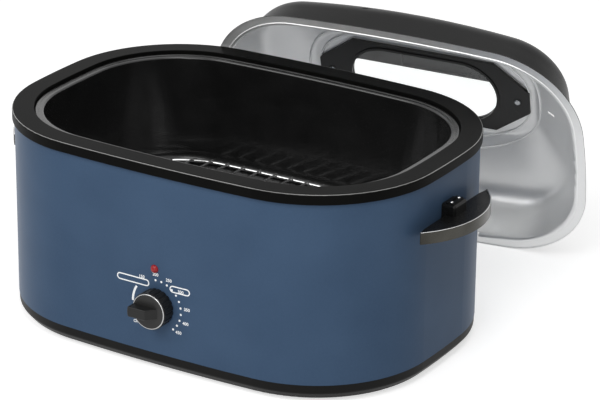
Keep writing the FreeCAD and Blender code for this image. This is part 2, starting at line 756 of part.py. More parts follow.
def heating_band():
    """Heating band round the well, with two terminal posts."""
    low = WELL_FLOOR_Z + BAND_LIFT
    band = ring(band_profile(low, low + BAND_HEIGHT, BAND_FIT_GAP, BAND_THICKNESS), body_plan())
    posts = []
    for place in terminal_places():
        start = place + Vector(0, TERMINAL_ROOT, 0)
        posts.append(rod(TERMINAL_RADIUS, start, place - Vector(0, TERMINAL_LENGTH, 0)))
    return band.fuse(posts)


def insulation_blanket():
    """Fibre blanket over the heating band, cut away round the terminals."""
    low = WELL_FLOOR_Z + BLANKET_LIFT
    near = BAND_FIT_GAP + BAND_THICKNESS + BLANKET_FIT_GAP
    blanket = ring(band_profile(low, low + BLANKET_HEIGHT, near, BLANKET_THICKNESS), body_plan())
    first, second = terminal_places()
    margin = Vector(TERMINAL_NOTCH_MARGIN, 0, TERMINAL_NOTCH_MARGIN)
    reach = Vector(0, BLANKET_THICKNESS * 2.0, 0)
    notch = box(first - margin - reach, second + margin + Vector(0, BAND_THICKNESS, 0))
    return blanket.cut(notch)


def front_inside(x):
    """Y of the wrap's inner face at the front."""
    return -side_y(x, -WRAP_WALL)


def thermostat_front():
    """Y of the thermostat's plate, just clear of the curved wrap."""
    return front_inside(KNOB_X + THERMOSTAT_WIDTH / 2.0) + THERMOSTAT_FIT_GAP


def thermostat():
    """Thermostat body with its mounting plate and the bore that the shaft turns in."""
    front = thermostat_front()
    half_x = THERMOSTAT_WIDTH / 2.0
    half_z = THERMOSTAT_HEIGHT / 2.0
    plate = box(Vector(KNOB_X - half_x, front, KNOB_Z - half_z),
                Vector(KNOB_X + half_x, front + THERMOSTAT_PLATE, KNOB_Z + half_z))
    inner = half_x * 0.8
    case = box(Vector(KNOB_X - inner, front, KNOB_Z - half_z),
               Vector(KNOB_X + inner, front + THERMOSTAT_DEPTH, KNOB_Z + half_z))
    case = case.makeFillet(2.0, [edge for edge in case.Edges if abs(edge.tangentAt(0).y) > 0.9])
    body = plate.fuse(case).removeSplitter()
    start = Vector(KNOB_X, front, KNOB_Z)
    tools = [rod(SHAFT_RADIUS + SHAFT_FIT_GAP, start, start + Vector(0, SHAFT_IN_BODY + 1.0, 0))]
    for side in (-0.5, 0.5):
        hole = Vector(KNOB_X + side * THERMOSTAT_SCREW_SPACING, front, KNOB_Z)
        depth = Vector(0, SMALL_SCREW_LENGTH, 0)
        tools.append(rod(SMALL_SCREW_RADIUS + SCREW_HOLE_GAP, hole, hole + depth))
    return body.cut(tools)


def thermostat_screws():
    """Two screws through the front wall into the thermostat, under the knob."""
    shapes = []
    for side in (-0.5, 0.5):
        x = KNOB_X + side * THERMOSTAT_SCREW_SPACING
        seat = Vector(x, -side_y(x) - SCREW_HOLE_GAP, KNOB_Z)
        head = rod(SMALL_SCREW_HEAD_RADIUS, seat - Vector(0, SMALL_SCREW_HEAD_HEIGHT, 0), seat)
        shank = rod(SMALL_SCREW_RADIUS, seat, seat + Vector(0, SMALL_SCREW_LENGTH, 0))
        shapes.append(head.fuse(shank).removeSplitter())
    return Part.makeCompound(shapes)


def knob_base_y():
    return -BODY_HALF_WIDTH - KNOB_WALL_GAP


def stand_at_knob(shape):
    """Turn a shape drawn about +Z so that it stands out of the front wall and points as at rest."""
    shape.rotate(Vector(0, 0, 0), Vector(0, 0, 1), KNOB_REST_ANGLE)
    shape.rotate(Vector(0, 0, 0), Vector(1, 0, 0), 90)
    shape.translate(Vector(KNOB_X, knob_base_y(), KNOB_Z))
    return shape


def shaft_section(radius, low, high):
    """A round bar about +Z with one flat."""
    bar = rod(radius, Vector(0, 0, low), Vector(0, 0, high))
    flat_x = SHAFT_RADIUS - SHAFT_FLAT_DEPTH + (radius - SHAFT_RADIUS)
    reach = 2.0 * radius
    return bar.cut(box(Vector(flat_x, -reach, low - 1.0), Vector(reach, reach, high + 1.0)))


def control_knob():
    """Round knob with a lobed side, a bevelled face and a grip that points at the dial."""
    body = Part.makeCylinder(KNOB_RADIUS, KNOB_DEPTH)
    face_edge = [edge for edge in body.Edges if edge.BoundBox.ZMin > KNOB_DEPTH - 0.1]
    body = body.makeFillet(KNOB_BEVEL, face_edge)
    top = KNOB_DEPTH + KNOB_GRIP_HEIGHT
    tip = KNOB_RADIUS - KNOB_BEVEL / 2.0
    sunk = KNOB_DEPTH - KNOB_BEVEL
    side = [Vector(tip, 0, sunk), Vector(tip, 0, top), Vector(-KNOB_GRIP_WIDTH / 4.0, 0, top),
            Vector(-KNOB_GRIP_TAIL, 0, sunk), Vector(tip, 0, sunk)]
    grip = Part.Face(Part.makePolygon(side)).extrude(Vector(0, KNOB_GRIP_WIDTH, 0))
    grip.translate(Vector(0, -KNOB_GRIP_WIDTH / 2.0, 0))
    grip = grip.common(Part.makeCylinder(tip, top))
    rounded = [edge for edge in grip.Edges if edge.BoundBox.ZMin > sunk + 0.1 or edge.BoundBox.ZLength > 1.0]
    grip = grip.makeFillet(1.2, rounded)
    body = body.fuse(grip).removeSplitter()
    tools = [shaft_section(SHAFT_RADIUS + SHAFT_FIT_GAP, -1.0, KNOB_BORE_DEPTH)]
    hub = rod(SHAFT_RADIUS * 2.2, Vector(0, 0, -1.0), Vector(0, 0, KNOB_BORE_DEPTH + 1.0))
    hollow = rod(KNOB_RADIUS - 3.0, Vector(0, 0, -1.0), Vector(0, 0, KNOB_BORE_DEPTH))
    tools.append(hollow.cut(hub))
    for i in range(KNOB_LOBES):
        angle = 2.0 * math.pi * i / KNOB_LOBES
        reach = KNOB_RADIUS + KNOB_GROOVE_RADIUS - KNOB_GROOVE_DEPTH
        foot = polar(Vector(0, 0, 0), reach, angle, -1.0)
        tools.append(rod(KNOB_GROOVE_RADIUS, foot, foot + Vector(0, 0, KNOB_DEPTH - 2.0 * KNOB_BEVEL + 1.0)))
    return stand_at_knob(body.cut(tools))


def knob_shaft():
    """Steel shaft from the thermostat into the knob."""
    inner_end = knob_base_y() - (thermostat_front() + SHAFT_IN_BODY)
    grip = shaft_section(SHAFT_RADIUS, 0.0, KNOB_BORE_DEPTH - 0.5)
    shank = rod(SHAFT_RADIUS, Vector(0, 0, inner_end), Vector(0, 0, 0))
    return stand_at_knob(grip.fuse(shank).removeSplitter())


def sensing_bulb_axis():
    z = WELL_UNDER_Z - BULB_RADIUS - BULB_CLIP_WALL
    y = -BULB_LENGTH / 2.0
    return Vector(-BULB_LENGTH / 2.0, y, z), Vector(BULB_LENGTH / 2.0, y, z)


def sensing_bulb():
    """Thermostat's sensing bulb under the well's floor."""
    start, end = sensing_bulb_axis()
    return rod(BULB_RADIUS, start, end)


def bulb_clips():
    """Two clips that hold the bulb to the well's floor."""
    start, end = sensing_bulb_axis()
    shapes = []
    for share in (0.2, 0.8):
        middle = start + end.sub(start) * share
        reach = BULB_RADIUS + BULB_CLIP_WALL
        low = middle - Vector(BULB_CLIP_WIDTH / 2.0, reach, reach)
        clip = box(low, Vector(low.x + BULB_CLIP_WIDTH, middle.y + reach, WELL_UNDER_Z))
        along = Vector(BULB_CLIP_WIDTH, 0, 0)
        hole = rod(BULB_RADIUS + SCREW_HOLE_GAP, middle - along, middle + along)
        shapes.append(clip.cut(hole))
    return Part.makeCompound(shapes)


def tube_along(corners, bend, radius):
    """A tube through corners, with the same bend at each inner one."""
    path = Part.Wire(path_edges(corners, [bend] * len(corners)))
    along = corners[1].sub(corners[0])
    section = Part.Wire([Part.Circle(corners[0], along, radius).toShape()])
    return path.makePipeShell([section], True, False)


def capillary_tube():
    """Thin tube from the bulb to the thermostat's back."""
    start, end = sensing_bulb_axis()
    back = thermostat_front() + THERMOSTAT_DEPTH
    enter = Vector(KNOB_X - THERMOSTAT_WIDTH / 5.0, back, KNOB_Z + THERMOSTAT_HEIGHT / 4.0)
    turn_x = start.x - 2.0 * CAPILLARY_BEND
    turn_y = back + 2.0 * CAPILLARY_BEND
    corners = [start, Vector(turn_x, start.y, start.z), Vector(turn_x, turn_y, start.z),
               Vector(enter.x, turn_y, enter.z), enter]
    return tube_along(corners, CAPILLARY_BEND * 0.8, CAPILLARY_RADIUS)


def indicator_lens():
    """Red lens: a dome outside the wall on a stem that passes through it."""
    seat = -side_y(LAMP_X) - SCREW_HOLE_GAP
    sphere_radius = (LENS_RADIUS ** 2 + LENS_DOME_HEIGHT ** 2) / (2.0 * LENS_DOME_HEIGHT)
    half = math.asin(LENS_RADIUS / sphere_radius) / 2.0
    bulge = Vector(sphere_radius * math.sin(half), sphere_radius * (1.0 - math.cos(half)), 0)
    points = flat([(0.0, 0.0), (LENS_RADIUS, LENS_DOME_HEIGHT), (LENS_STEM_RADIUS, LENS_DOME_HEIGHT),
                   (LENS_STEM_RADIUS, LENS_DOME_HEIGHT + LENS_STEM_LENGTH),
                   (0.0, LENS_DOME_HEIGHT + LENS_STEM_LENGTH)])
    edges = [Part.Arc(points[0], bulge, points[1]).toShape()]
    edges += [Part.LineSegment(points[i], points[(i + 1) % 5]).toShape() for i in range(1, 5)]
    lens = Part.Face(Part.Wire(edges)).revolve(Vector(0, 0, 0), Vector(0, 1, 0), 360)
    lens.translate(Vector(LAMP_X, seat - LENS_DOME_HEIGHT, LAMP_Z))
    return lens


def lamp_holder():
    """Holder pushed over the lens's stem behind the wall."""
    front = front_inside(LAMP_X + LAMP_BODY_RADIUS) + SCREW_HOLE_GAP
    start = Vector(LAMP_X, front, LAMP_Z)
    body = rod(LAMP_BODY_RADIUS, start, start + Vector(0, LAMP_BODY_LENGTH, 0))
    seat = -side_y(LAMP_X) - SCREW_HOLE_GAP
    depth = seat + LENS_STEM_LENGTH + LAMP_HOLE_GAP - front
    return body.cut(rod(LENS_STEM_RADIUS + LAMP_HOLE_GAP, start, start + Vector(0, depth, 0)))


def handle_arc():
    """Centre and radius of the side handle's outer curve, and half its angle."""
    radius = (HANDLE_HALF_CHORD ** 2 + HANDLE_BOW ** 2) / (2.0 * HANDLE_BOW)
    centre = Vector(HANDLE_END_X + HANDLE_BOW - radius, 0, 0)
    return centre, radius, math.asin(HANDLE_HALF_CHORD / radius)


def crescent(outer_radius, inner_x, inner_half, low, high):
    """Flat crescent between the handle's curve and a straight inner edge."""
    centre, radius, half = handle_arc()
    start = polar(centre, outer_radius, -half, low)
    middle = polar(centre, outer_radius, 0.0, low)
    end = polar(centre, outer_radius, half, low)
    inner_end = Vector(inner_x, inner_half, low)
    inner_start = Vector(inner_x, -inner_half, low)
    edges = [Part.Arc(start, middle, end).toShape(), Part.LineSegment(end, inner_end).toShape(),
             Part.LineSegment(inner_end, inner_start).toShape(),
             Part.LineSegment(inner_start, start).toShape()]
    return Part.Face(Part.Wire(edges)).extrude(Vector(0, 0, high - low))


def handle_neck():
    """Block between the crescent and the wall, ribbed on top."""
    low = Vector(BODY_HALF_LENGTH - DRILL_REACH, -NECK_HALF_WIDTH, NECK_BOTTOM_Z)
    block = box(low, Vector(BODY_HALF_LENGTH + NECK_REACH, NECK_HALF_WIDTH, NECK_TOP_Z))
    soft = []
    for edge in block.Edges:
        outer = edge.BoundBox.XMin > BODY_HALF_LENGTH + NECK_REACH - 0.1
        along_top = edge.BoundBox.ZMin > NECK_TOP_Z - 0.1 and edge.BoundBox.XLength > 1.0
        if outer or along_top:
            soft.append(edge)
    block = block.makeFillet(NECK_EDGE_RADIUS, soft)
    ribs = []
    for i in range(NECK_RIB_COUNT):
        x = BODY_HALF_LENGTH + NECK_REACH / 2.0 + (i - (NECK_RIB_COUNT - 1) / 2.0) * NECK_RIB_PITCH
        rib = box(Vector(x - NECK_RIB_WIDTH / 2.0, -NECK_RIB_LENGTH / 2.0, NECK_TOP_Z - 1.0),
                  Vector(x + NECK_RIB_WIDTH / 2.0, NECK_RIB_LENGTH / 2.0, NECK_TOP_Z + NECK_RIB_HEIGHT))
        ribs.append(rib)
    return block.fuse(ribs)


def right_handle():
    """Moulded side handle: crescent, neck and a shallow recess under the crescent."""
    centre, radius, half = handle_arc()
    outer = radius - HANDLE_TRIM_WALL - HANDLE_TRIM_FIT
    low = HANDLE_TOP_Z - HANDLE_TRIM_HEIGHT
    high = HANDLE_TOP_Z - HANDLE_TRIM_STAND
    body = crescent(outer, HANDLE_INNER_X, HANDLE_INNER_HALF, low, high).fuse(handle_neck())
    margin = HANDLE_RECESS_MARGIN
    recess = crescent(outer - margin, HANDLE_INNER_X + margin, HANDLE_INNER_HALF - margin,
                      low - 1.0, low + HANDLE_RECESS_DEPTH)
    recess = recess.cut(box(Vector(BODY_HALF_LENGTH - DRILL_REACH, -NECK_HALF_WIDTH, 0.0),
                            Vector(BODY_HALF_LENGTH + NECK_REACH, NECK_HALF_WIDTH, BODY_HEIGHT)))
    wall = plan_prism(body_plan(NECK_SEAT_GAP), WRAP_BOTTOM_Z, BODY_HEIGHT)
    tools = [recess, wall]
    for y in handle_screw_ys():
        start = Vector(BODY_HALF_LENGTH - DRILL_REACH, y, HANDLE_SCREW_Z)
        end = Vector(BODY_HALF_LENGTH + HANDLE_SCREW_LENGTH - 2.0, y, HANDLE_SCREW_Z)
        tools.append(rod(HANDLE_SCREW_RADIUS + SCREW_HOLE_GAP, start, end))
    return body.cut(tools).removeSplitter()


def right_handle_trim():
    """Metal strip round the crescent's curved edge."""
    centre, radius, half = handle_arc()
    low = HANDLE_TOP_Z - HANDLE_TRIM_HEIGHT
    edges = []
    for reach in (radius, radius - HANDLE_TRIM_WALL):
        points = [polar(centre, reach, angle, low) for angle in (-half, 0.0, half)]
        edges.append(Part.Arc(points[0], points[1], points[2]).toShape())
    ends = [Part.LineSegment(polar(centre, radius, side * half, low),
                             polar(centre, radius - HANDLE_TRIM_WALL, side * half, low)).toShape()
            for side in (-1.0, 1.0)]
    wire = Part.Wire([edges[0], ends[1], edges[1], ends[0]])
    return Part.Face(wire).extrude(Vector(0, 0, HANDLE_TRIM_HEIGHT))


def plate_face_x():
    """X of the backing plate's outer face, just clear of the curved wrap."""
    return end_x(BACK_PLATE_WIDTH / 2.0, -WRAP_WALL) - SCREW_HOLE_GAP


def back_plate():
    """Steel plate behind the wrap that spreads the handle's load."""
    face = plate_face_x()
    half_y = BACK_PLATE_WIDTH / 2.0
    half_z = BACK_PLATE_HEIGHT / 2.0
    plate = box(Vector(face - BACK_PLATE_WALL, -half_y, HANDLE_SCREW_Z - half_z),
                Vector(face, half_y, HANDLE_SCREW_Z + half_z))
    tools = []
    for y in handle_screw_ys():
        start = Vector(face - 2.0 * BACK_PLATE_WALL, y, HANDLE_SCREW_Z)
        end = start + Vector(4.0 * BACK_PLATE_WALL, 0, 0)
        tools.append(rod(HANDLE_SCREW_RADIUS + SCREW_HOLE_GAP, start, end))
    return plate.cut(tools)


def handle_screw(y):
    """One handle screw, its head against the backing plate inside the body."""
    seat = Vector(plate_face_x() - BACK_PLATE_WALL, y, HANDLE_SCREW_Z)
    head = rod(HANDLE_SCREW_HEAD_RADIUS, seat - Vector(HANDLE_SCREW_HEAD_HEIGHT, 0, 0), seat)
    shank = rod(HANDLE_SCREW_RADIUS, seat, seat + Vector(HANDLE_SCREW_LENGTH, 0, 0))
    return head.fuse(shank).removeSplitter()


def mirrored(shape):
    """The same piece at the other end of the body."""
    return shape.mirror(Vector(0, 0, 0), Vector(1, 0, 0))


def both_ends(shapes):
    return Part.makeCompound(shapes + [mirrored(shape) for shape in shapes])


def cord_bushing():
    """Bushing in the back wall that the cord passes through."""
    face = side_y(BUSHING_X)
    inner = face - WRAP_WALL
    flange = rod(BUSHING_RADIUS, Vector(BUSHING_X, face - WRAP_WALL, BUSHING_Z),
                 Vector(BUSHING_X, face + BUSHING_FLANGE_WALL, BUSHING_Z))
    flange = flange.cut(plan_prism(body_plan(SCREW_HOLE_GAP), WRAP_BOTTOM_Z, BODY_HEIGHT))
    neck = rod(BUSHING_NECK_RADIUS, Vector(BUSHING_X, inner - BUSHING_NECK_LENGTH, BUSHING_Z),
               Vector(BUSHING_X, face + BUSHING_FLANGE_WALL, BUSHING_Z))
    clip = rod(BUSHING_RADIUS, Vector(BUSHING_X, inner - BUSHING_NECK_LENGTH, BUSHING_Z),
               Vector(BUSHING_X, inner - 1.0, BUSHING_Z))
    start = Vector(BUSHING_X, inner - 2.0 * BUSHING_NECK_LENGTH, BUSHING_Z)
    bore = rod(BUSHING_BORE_RADIUS, start, start + Vector(0, 4.0 * BUSHING_NECK_LENGTH, 0))
    return flange.fuse([neck, clip]).cut(bore)


def terminal_block():
    """Ceramic block on the tray's floor where the leads meet."""
    low = Vector(BLOCK_X - BLOCK_LENGTH / 2.0, BLOCK_Y - BLOCK_WIDTH / 2.0, TRAY_FLOOR_Z)
    block = box(low, low + Vector(BLOCK_LENGTH, BLOCK_WIDTH, BLOCK_HEIGHT))
    tools = []
    for i in range(BLOCK_WAYS):
        x = BLOCK_X + (i - (BLOCK_WAYS - 1) / 2.0) * BLOCK_LENGTH / BLOCK_WAYS
        start = Vector(x, low.y - 1.0, TRAY_FLOOR_Z + BLOCK_HEIGHT / 2.0)
        tools.append(rod(BLOCK_WAY_RADIUS, start, start + Vector(0, BLOCK_WIDTH + 2.0, 0)))
    return block.cut(tools)


def well_posts():
    """Four posts between the well's floor and the tray."""
    posts = []
    for place in tray_screw_places():
        foot = Vector(place.x, place.y, TRAY_FLOOR_Z)
        post = rod(TRAY_POST_RADIUS, foot, Vector(place.x, place.y, WELL_UNDER_Z))
        depth = Vector(0, 0, TRAY_SCREW_LENGTH)
        posts.append(post.cut(rod(TRAY_SCREW_RADIUS + SCREW_HOLE_GAP, foot, foot + depth)))
    return Part.makeCompound(posts)


def tray_screws():
    """Four screws from below through the tray into the posts."""
    shapes = []
    for place in tray_screw_places():
        head = rod(TRAY_SCREW_HEAD_RADIUS, place - Vector(0, 0, TRAY_SCREW_HEAD_HEIGHT), place)
        shank = rod(TRAY_SCREW_RADIUS, place, place + Vector(0, 0, TRAY_SCREW_LENGTH))
        shapes.append(head.fuse(shank).removeSplitter())
    return Part.makeCompound(shapes)


def lid_flange():
    """Hemmed flange of the lid, stepped near its edge, with the round foot that the dome rises from."""
    high = LID_WALL + LID_STEP_HEIGHT
    pairs = [(0.0, 0.0), (0.0, high), (-LID_STEP_INSET, high), (-LID_STEP_INSET - LID_STEP_HEIGHT, LID_WALL),
             (-LID_FOOT_INSET, LID_WALL), (-LID_FOOT_INSET, LID_FOOT_Z)]
    radii = [0.0, LID_HEM_RADIUS, 0.0, 0.0, LID_FOOT_RADIUS, 0.0]
    edges, other = sheet_edges(flat(pairs), radii, LID_WALL, True)
    return sewn(around(edges, lid_plan()))


def dome_profile(shoulder, flat_inset, wall):
    """Section of the dome from its foot up and in over its flat, or of the face a wall inside it."""
    points = flat([(-LID_FOOT_INSET, LID_FOOT_Z), (-shoulder, LID_DOME_HEIGHT - LID_SHOULDER_DROP),
                   (-flat_inset, LID_DOME_HEIGHT), (-2.0 * flat_inset, LID_DOME_HEIGHT)])
    radii = [0.0, LID_SHOULDER_RADIUS, LID_CROWN_RADIUS, 0.0]
    if wall > 0.0:
        radii = offset_radii(points, radii, wall)
        points = offset_path(points, wall)
        points[0] = Vector(-LID_FOOT_INSET - wall, LID_FOOT_Z, 0)
    return path_edges(points, radii)


def inset_at(profile, z):
    """How far a rising profile stands in at a height."""
    inset = 0.0
    for edge in profile:
        low = edge.Vertexes[0].Point
        high = edge.Vertexes[-1].Point
        if z < low.y - 1e-6 or z > high.y + 1e-6 or high.y - low.y < 1e-9:
            continue
        if edge.Curve.TypeId == "Part::GeomCircle":
            centre = edge.Curve.Center
            inset = -centre.x - math.sqrt(max(edge.Curve.Radius ** 2 - (z - centre.y) ** 2, 0.0))
        else:
            inset = -low.x - (high.x - low.x) * (z - low.y) / (high.y - low.y)
    return inset


def dome_plan(side, end):
    """Sizes of the dome's oval where its long sides and its ends stand in by so much."""
    foot = 2.0 * LID_FOOT_INSET
    shoulder = LID_SIDE_SHOULDER + LID_END_SHOULDER
    top = LID_SIDE_FLAT + LID_END_FLAT
    lower = min(max((side + end - foot) / (shoulder - foot), 0.0), 1.0)
    upper = min(max((side + end - shoulder) / (top - shoulder), 0.0), 1.0)
    length, width, side_bow, end_bow, corner = lid_plan(-LID_FOOT_INSET)
    bow = 1.0 / ((1.0 - lower) / side_bow + lower / LID_SHOULDER_BOW)
    corner += lower * (LID_SHOULDER_CORNER - corner) + upper * (LID_FLAT_CORNER - LID_SHOULDER_CORNER)
    return (LID_HALF_LENGTH - end, LID_HALF_WIDTH - side, bow, END_BOW_RADIUS - LID_BOW_CUT - end, corner)


def dome_solid(wall):
    """The dome as a full solid, or what is left of it a wall inside."""
    sides = [dome_profile(LID_SIDE_SHOULDER, LID_SIDE_FLAT, depth) for depth in (0.0, wall)]
    ends = [dome_profile(LID_END_SHOULDER, LID_END_FLAT, depth) for depth in (0.0, wall)]
    rise = LID_DOME_HEIGHT - wall - LID_FOOT_Z
    wires = []
    for i in range(LID_DOME_STEPS + 1):
        z = LID_FOOT_Z + rise * math.sin(math.pi / 2.0 * i / LID_DOME_STEPS)
        side = inset_at(sides[0], z)
        end = inset_at(ends[0], z)
        thin_side = inset_at(sides[1], z) - side
        thin_end = inset_at(ends[1], z) - end
        length, width, side_bow, end_bow, corner = dome_plan(side, end)
        plan = (length - thin_end, width - thin_side, side_bow - thin_side, end_bow - thin_end,
                corner - (thin_side + thin_end) / 2.0)
        wires.append(plan_wire(plan, z))
    return Part.makeLoft(wires, True, False)


def lid_shell():
    """Drawn lid: flange, steep side, round shoulder, sloping crown and a flat with a window in it."""
    shell = dome_solid(0.0).cut(dome_solid(LID_WALL)).fuse(lid_flange())
    rebate = OPENING_END_RADIUS + FRAME_REBATE + GLASS_EDGE_GAP
    reach = OPENING_HALF_LENGTH + FRAME_REBATE + GLASS_EDGE_GAP
    tools = [stadium(reach, rebate, LID_DOME_HEIGHT / 2.0, LID_DOME_HEIGHT + DRILL_REACH)]
    tools += lid_screw_holes()
    vent = stadium(VENT_LENGTH / 2.0, VENT_WIDTH / 2.0, LID_DOME_HEIGHT - LID_SHOULDER_DROP,
                   LID_DOME_HEIGHT + DRILL_REACH)
    vent.translate(Vector(VENT_X, 0, 0))
    tools.append(vent)
    return shell.cut(tools)


def lid_inside_z():
    """Height of the lid's flat top, inside."""
    return LID_DOME_HEIGHT - LID_WALL


def lid_screw_holes():
    """Drills for the two screws that hold the frames and the grip."""
    holes = []
    for side in (-1.0, 1.0):
        start = Vector(side * LID_SCREW_X, 0, lid_inside_z() - 2.0 * FRAME_THICKNESS)
        end = Vector(start.x, 0, lid_inside_z() - FRAME_THICKNESS + LID_SCREW_LENGTH + 1.0)
        holes.append(rod(LID_SCREW_RADIUS + SCREW_HOLE_GAP, start, end))
    return holes


def frame_plate(grow, low, high):
    """Long plate with pointed ends, grown outwards, between two heights."""
    corners = []
    for x, y in ((1, 1), (-1, 1), (-1, -1), (1, -1)):
        tip = Vector(x * (FRAME_HALF_LENGTH + grow), y * (FRAME_TIP_HALF + grow / 2.0), 0)
        shoulder = Vector(x * (FRAME_SHOULDER_X + grow / 3.0), y * (FRAME_HALF_WIDTH + grow), 0)
        corners += [tip, shoulder] if x * y > 0 else [shoulder, tip]
    wire = Part.Wire(path_edges(corners, [FRAME_CORNER_RADIUS] * len(corners), True))
    plate = Part.Face(wire).extrude(Vector(0, 0, high - low))
    plate.translate(Vector(0, 0, low))
    return plate


def window_inner_frame():
    """Black frame inside the lid, with a raised ring round the opening and a rebate for the glass."""
    high = lid_inside_z()
    low = high - FRAME_THICKNESS
    frame = frame_plate(0.0, low, high)
    ring_width = FRAME_RING_WIDTH
    raised = stadium(OPENING_HALF_LENGTH + ring_width, OPENING_END_RADIUS + ring_width,
                     low - FRAME_RING_HEIGHT, low)
    frame = frame.fuse(raised)
    opening = stadium(OPENING_HALF_LENGTH, OPENING_END_RADIUS, low - 5.0, high + 1.0)
    rebate = stadium(OPENING_HALF_LENGTH + FRAME_REBATE + GLASS_EDGE_GAP,
                     OPENING_END_RADIUS + FRAME_REBATE + GLASS_EDGE_GAP, low + FRAME_LIP, high + 1.0)
    return frame.cut([opening, rebate] + lid_screw_holes())


def window_glass():
    """Glass pane in the frame's rebate."""
    low = lid_inside_z() - FRAME_THICKNESS + FRAME_LIP
    return stadium(OPENING_HALF_LENGTH + FRAME_REBATE, OPENING_END_RADIUS + FRAME_REBATE,
                   low, low + GLASS_THICKNESS)


def window_gasket():
    """Seal between the glass and the outer frame."""
    low = lid_inside_z() - FRAME_THICKNESS + FRAME_LIP + GLASS_THICKNESS
    outer = stadium(OPENING_HALF_LENGTH + FRAME_REBATE, OPENING_END_RADIUS + FRAME_REBATE,
                    low, LID_DOME_HEIGHT)
    reach = FRAME_REBATE - GASKET_WIDTH
    return outer.cut(stadium(OPENING_HALF_LENGTH + reach, OPENING_END_RADIUS + reach,
                             low - 1.0, LID_DOME_HEIGHT + 1.0))


def window_outer_frame():
    """Frame outside the lid that clamps the glass."""
    high = LID_DOME_HEIGHT + OUTER_FRAME_THICKNESS
    frame = frame_plate(0.0, LID_DOME_HEIGHT, high)
    opening = stadium(OPENING_HALF_LENGTH, OPENING_END_RADIUS, LID_DOME_HEIGHT - 1.0, high + 1.0)
    return frame.cut([opening] + lid_screw_holes())


def lid_grip():
    """Long handle that bridges the window outside."""
    foot = LID_DOME_HEIGHT + OUTER_FRAME_THICKNESS
    under = foot + GRIP_CLEARANCE
    top = under + GRIP_THICKNESS
    lean = GRIP_THICKNESS / 4.0
    leg = GRIP_HALF_LENGTH - GRIP_LEG_LENGTH
    side = flat([(GRIP_HALF_LENGTH, foot), (GRIP_HALF_LENGTH - lean, top), (0.0, top + GRIP_ARCH_RISE),
                 (lean - GRIP_HALF_LENGTH, top), (-GRIP_HALF_LENGTH, foot), (-leg, foot),
                 (lean - leg, under), (leg - lean, under), (leg, foot)])
    bend = GRIP_THICKNESS * 0.8
    radii = [0.0, bend, 20.0 * bend, bend, 0.0, 0.0, bend / 2.0, bend / 2.0, 0.0]
    face = Part.Face(Part.Wire(path_edges(side, radii, True)))
    grip = face.extrude(Vector(0, 0, 2.0 * GRIP_HALF_WIDTH))
    grip.rotate(Vector(0, 0, 0), Vector(1, 0, 0), 90)
    grip.translate(Vector(0, GRIP_HALF_WIDTH, 0))
    soft = [edge for edge in grip.Edges if edge.BoundBox.YLength < 0.01 and edge.BoundBox.ZMax > foot + 0.1]
    grip = grip.makeFillet(GRIP_EDGE_RADIUS, soft)
    recess = box(Vector(-GRIP_RECESS_HALF_LENGTH, -GRIP_RECESS_HALF_WIDTH, under - 1.0),
                 Vector(GRIP_RECESS_HALF_LENGTH, GRIP_RECESS_HALF_WIDTH, under + GRIP_RECESS_DEPTH))
    return grip.cut([recess] + lid_screw_holes())


def lid_screws():
    """Two screws from inside the lid, through both frames into the grip's legs."""
    shapes = []
    seat = lid_inside_z() - FRAME_THICKNESS
    for side in (-1.0, 1.0):
        place = Vector(side * LID_SCREW_X, 0, seat)
        head = rod(LID_SCREW_HEAD_RADIUS, place - Vector(0, 0, LID_SCREW_HEAD_HEIGHT), place)
        face_edge = [edge for edge in head.Edges if edge.BoundBox.ZMax < seat - LID_SCREW_HEAD_HEIGHT / 2.0]
        head = head.makeFillet(LID_SCREW_HEAD_HEIGHT * 0.6, face_edge)
        shank = rod(LID_SCREW_RADIUS, place, place + Vector(0, 0, LID_SCREW_LENGTH))
        shapes.append(head.fuse(shank).removeSplitter())
    return Part.makeCompound(shapes)


def park_rotation():
    """How the lid is turned when it stands behind the body."""
    spin = FreeCAD.Rotation(Vector(0, 0, 1), PARK_YAW)
    tip = FreeCAD.Rotation(Vector(1, 0, 0), PARK_LEAN - 90.0)
    roll = FreeCAD.Rotation(Vector(0, 0, 1), PARK_ROLL)
    return spin.multiply(tip).multiply(roll)


def park_placement():
    """Where the lid stands: its edge on the counter, its flange against the collar's back edge."""
    turn = park_rotation()
    down = turn.inverted().multVec(Vector(0, 0, -1))
    z = plan_reach(lid_plan(), Vector(down.x, down.y, 0))
    out = turn.multVec(Vector(0, 0, 1))
    edge = COLLAR_EDGE_RADIUS
    level = Vector(out.x, out.y, 0)
    touch = plan_reach(body_plan(COLLAR_OVERHANG - edge), level) + out.z * (BODY_HEIGHT - edge) + edge
    y = (touch + PARK_GAP - out.x * PARK_X - out.z * z) / out.y
    return FreeCAD.Placement(Vector(PARK_X, y, z), turn)


def parked(shape):
    """A lid piece carried from its closed drawing to where it stands."""
    shape.transformShape(park_placement().toMatrix())
    return shape


def middle_y():
    """Y of the middle of the whole set, from the knob's grip in front to the lid's grip behind."""
    front = knob_base_y() - KNOB_DEPTH - KNOB_GRIP_HEIGHT
    back = parked(lid_grip()).optimalBoundingBox().YMax
    return (front + back) / 2.0


def save(name, shape, shift):
    """Move one node's solids with the whole set and write them."""
    moved = shape.copy()
    moved.translate(Vector(0, -shift, 0))
    moved.exportStep("parts/" + name + ".step")
    volume = round(moved.Volume / 1000.0, 2)
    print(name, "solids", len(moved.Solids), "valid", moved.isValid(), "volume", volume, "cm3")


